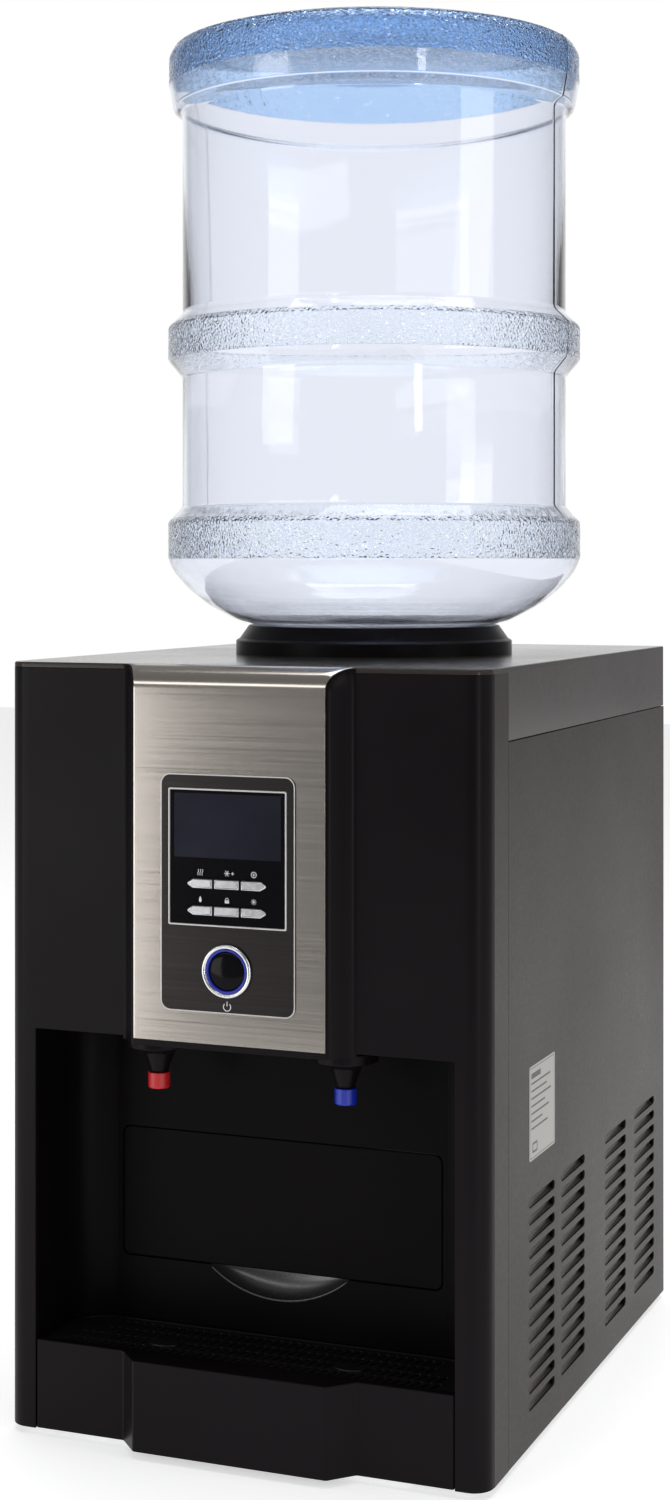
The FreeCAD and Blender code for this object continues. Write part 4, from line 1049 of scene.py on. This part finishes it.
def bottle():
    """Bottle: outer and inner profiles joined at the neck's mouth and carried round the axis.

    In the three bands the outer wall is pebbled: a sum of sines in angle and height moves it in and out.
    Each mould seam adds a bell curve in angle to the radius.
    """
    high = place("bottle_shell")[1]
    neck_low = place("bottle_neck")[0][2]
    y, top, band = centre_of("bottle_shell")[1], high[2], high[0]
    outline = [(28, neck_low), (28, 440), (28, 462), (40, 468), (70, 474.4), (88.7, 479), (108, 489),
               (121.7, 500), (132.4, 512), (band, 520), (band, 543), (125.6, 553), (125.6, 638),
               (band, 649), (band, 670), (125.6, 679), (125.6, 809), (131.5, 813), (134.5, 829),
               (134.5, top - 8), (131, top - 2), (124, top), (108, top), (96, top - 8), (0, top - 12)]
    radii = [0, 0, 6, 12, 40, 30, 40, 40, 30, 6, 3, 5, 5, 3, 3, 5, 5, 3, 8, 5, 3, 5, 5, 6, 0]
    outer = open_profile(outline, radii, 1.6)
    along = np.gradient(outer, axis=0)
    along /= np.linalg.norm(along, axis=1)[:, None]
    wall = 2.0
    inner = outer + wall * np.stack([-along[:, 1], along[:, 0]], 1)
    inner[:, 0] = np.maximum(inner[:, 0], 0)
    inner[-1] = (0, outer[-1, 1] - wall)
    inner = inner[::-1][::2]
    profile = np.concatenate([outer, inner])
    near = np.linspace(-2 * SEAM_WIDE, 2 * SEAM_WIDE, 9)
    turn = np.unique(np.concatenate([full_turn(288), SEAM + near, SEAM + np.pi + near]))[:, None]
    steps = len(turn)
    radius = np.broadcast_to(profile[None, :, 0], (steps, len(profile))).copy()
    height = profile[None, :, 1]
    is_outer = (np.arange(len(profile)) < len(outer))[None, :]
    pebble, fade, ridge_high = 0.2, 3, 0.5
    for start, end in BANDS:
        inside = np.clip(np.minimum(height - start, end - height) / fade, 0, 1)
        inside = inside * is_outer * (profile[:, 0] > BAND_FROM)
        wave = (np.sin(72 * turn + 0.9 * height) * np.sin(1.15 * height + 2 * np.sin(9 * turn))
                + 0.6 * np.sin(108 * turn - 0.7 * height + np.sin(13 * turn)))
        radius += pebble * inside * (wave - 1.0)
    ridge = np.exp(-((turn - SEAM) / SEAM_WIDE) ** 2) + np.exp(-((turn - SEAM - np.pi) / SEAM_WIDE) ** 2)
    seam_from, shoulder = 547, 110
    radius += ridge_high * ridge * is_outer * ((height > seam_from) & (profile[:, 0] > shoulder))
    points = points_at(radius * np.cos(turn), y + radius * np.sin(turn), height)
    piece("clear_bottle", grid(points, wrap_u=True, wrap_v=True), "bottle_clear", "bottle",
          ["bottle_shell", "bottle_neck"], crease=60, weighted=False)


def studio():
    """Pale floor, soft area lights, a surround that is white behind the object and grey elsewhere, camera."""
    floor = bpy.data.meshes.new("floor")
    half, near = 6.0, -1.2
    floor.from_pydata([(-half, near, 0), (half, near, 0), (half, half, 0), (-half, half, 0)], [],
                      [(0, 1, 2, 3)])
    floor.materials.append(FLOOR_FINISH)
    ground = bpy.data.objects.new("floor", floor)
    bpy.context.scene.collection.objects.link(ground)

    world = bpy.data.worlds.new("studio_surround")
    bpy.context.scene.world = world
    world.use_nodes = True
    tree = world.node_tree
    tree.nodes.clear()
    kinds = ("TexCoord", "VectorMath", "MapRange", "ValToRGB", "Background", "OutputWorld")
    where, toward, share, ramp, shade, out = [tree.nodes.new("ShaderNode" + kind) for kind in kinds]
    toward.operation = "DOT_PRODUCT"
    toward.inputs[1].default_value = (-0.37, 0.929, 0)
    share.inputs["From Min"].default_value = -1
    for source, target in ((where.outputs["Generated"], toward.inputs[0]),
                           (toward.outputs["Value"], share.inputs["Value"]),
                           (share.outputs[0], ramp.inputs["Fac"]),
                           (ramp.outputs[0], shade.inputs["Color"]),
                           (shade.outputs[0], out.inputs["Surface"])):
        tree.links.new(source, target)
    stops = ramp.color_ramp.elements
    stops[0].position, stops[0].color = 0.30, (0.26, 0.26, 0.265, 1)
    stops[1].position, stops[1].color = 0.957, (1.0, 1.0, 1.0, 1)
    stops.new(0.915).color = (0.34, 0.34, 0.35, 1)

    target = Vector((0, 0, 0.35))
    for name, spot, size, power in (("left_softbox", (-1.61, -2.1, 0.0), (1.0, 1.2), 15),
                                    ("front_strip", (-0.75, -2.2, 1.35), (2.2, 0.35), 7),
                                    ("right_strip", (1.75, -1.65, 0.24), (0.2, 0.5), 4),
                                    ("right_softbox", (2.4, -0.3, 1.3), (1.0, 1.2), 9),
                                    ("overhead_softbox", (0.1, 0.2, 2.6), (1.6, 1.6), 30)):
        light = bpy.data.lights.new(name, "AREA")
        light.shape = "RECTANGLE"
        light.size, light.size_y = size
        light.energy = power
        lamp = bpy.data.objects.new(name, light)
        lamp.location = spot
        lamp.rotation_euler = (target - Vector(spot)).to_track_quat("-Z", "Y").to_euler()
        bpy.context.scene.collection.objects.link(lamp)

    lens = bpy.data.cameras.new("camera")
    lens.lens = 57.47
    lens.sensor_width = 36
    lens.shift_y = -0.1259
    lens.clip_start = 0.01
    camera = bpy.data.objects.new("camera", lens)
    camera.location = (0.5582, -1.4529, 0.5177)
    camera.rotation_euler = (math.radians(90), 0, math.radians(21.687))
    bpy.context.scene.collection.objects.link(camera)
    bpy.context.scene.camera = camera
    bpy.context.scene.view_settings.view_transform = "Standard"


front_frame()
side_returns()
steel_fascia()
control_panel()
keys()
printed_marks()
alcove()
drawer_and_tray()
taps()
side_panels()
top_and_label()
collar()
bottle()
studio()
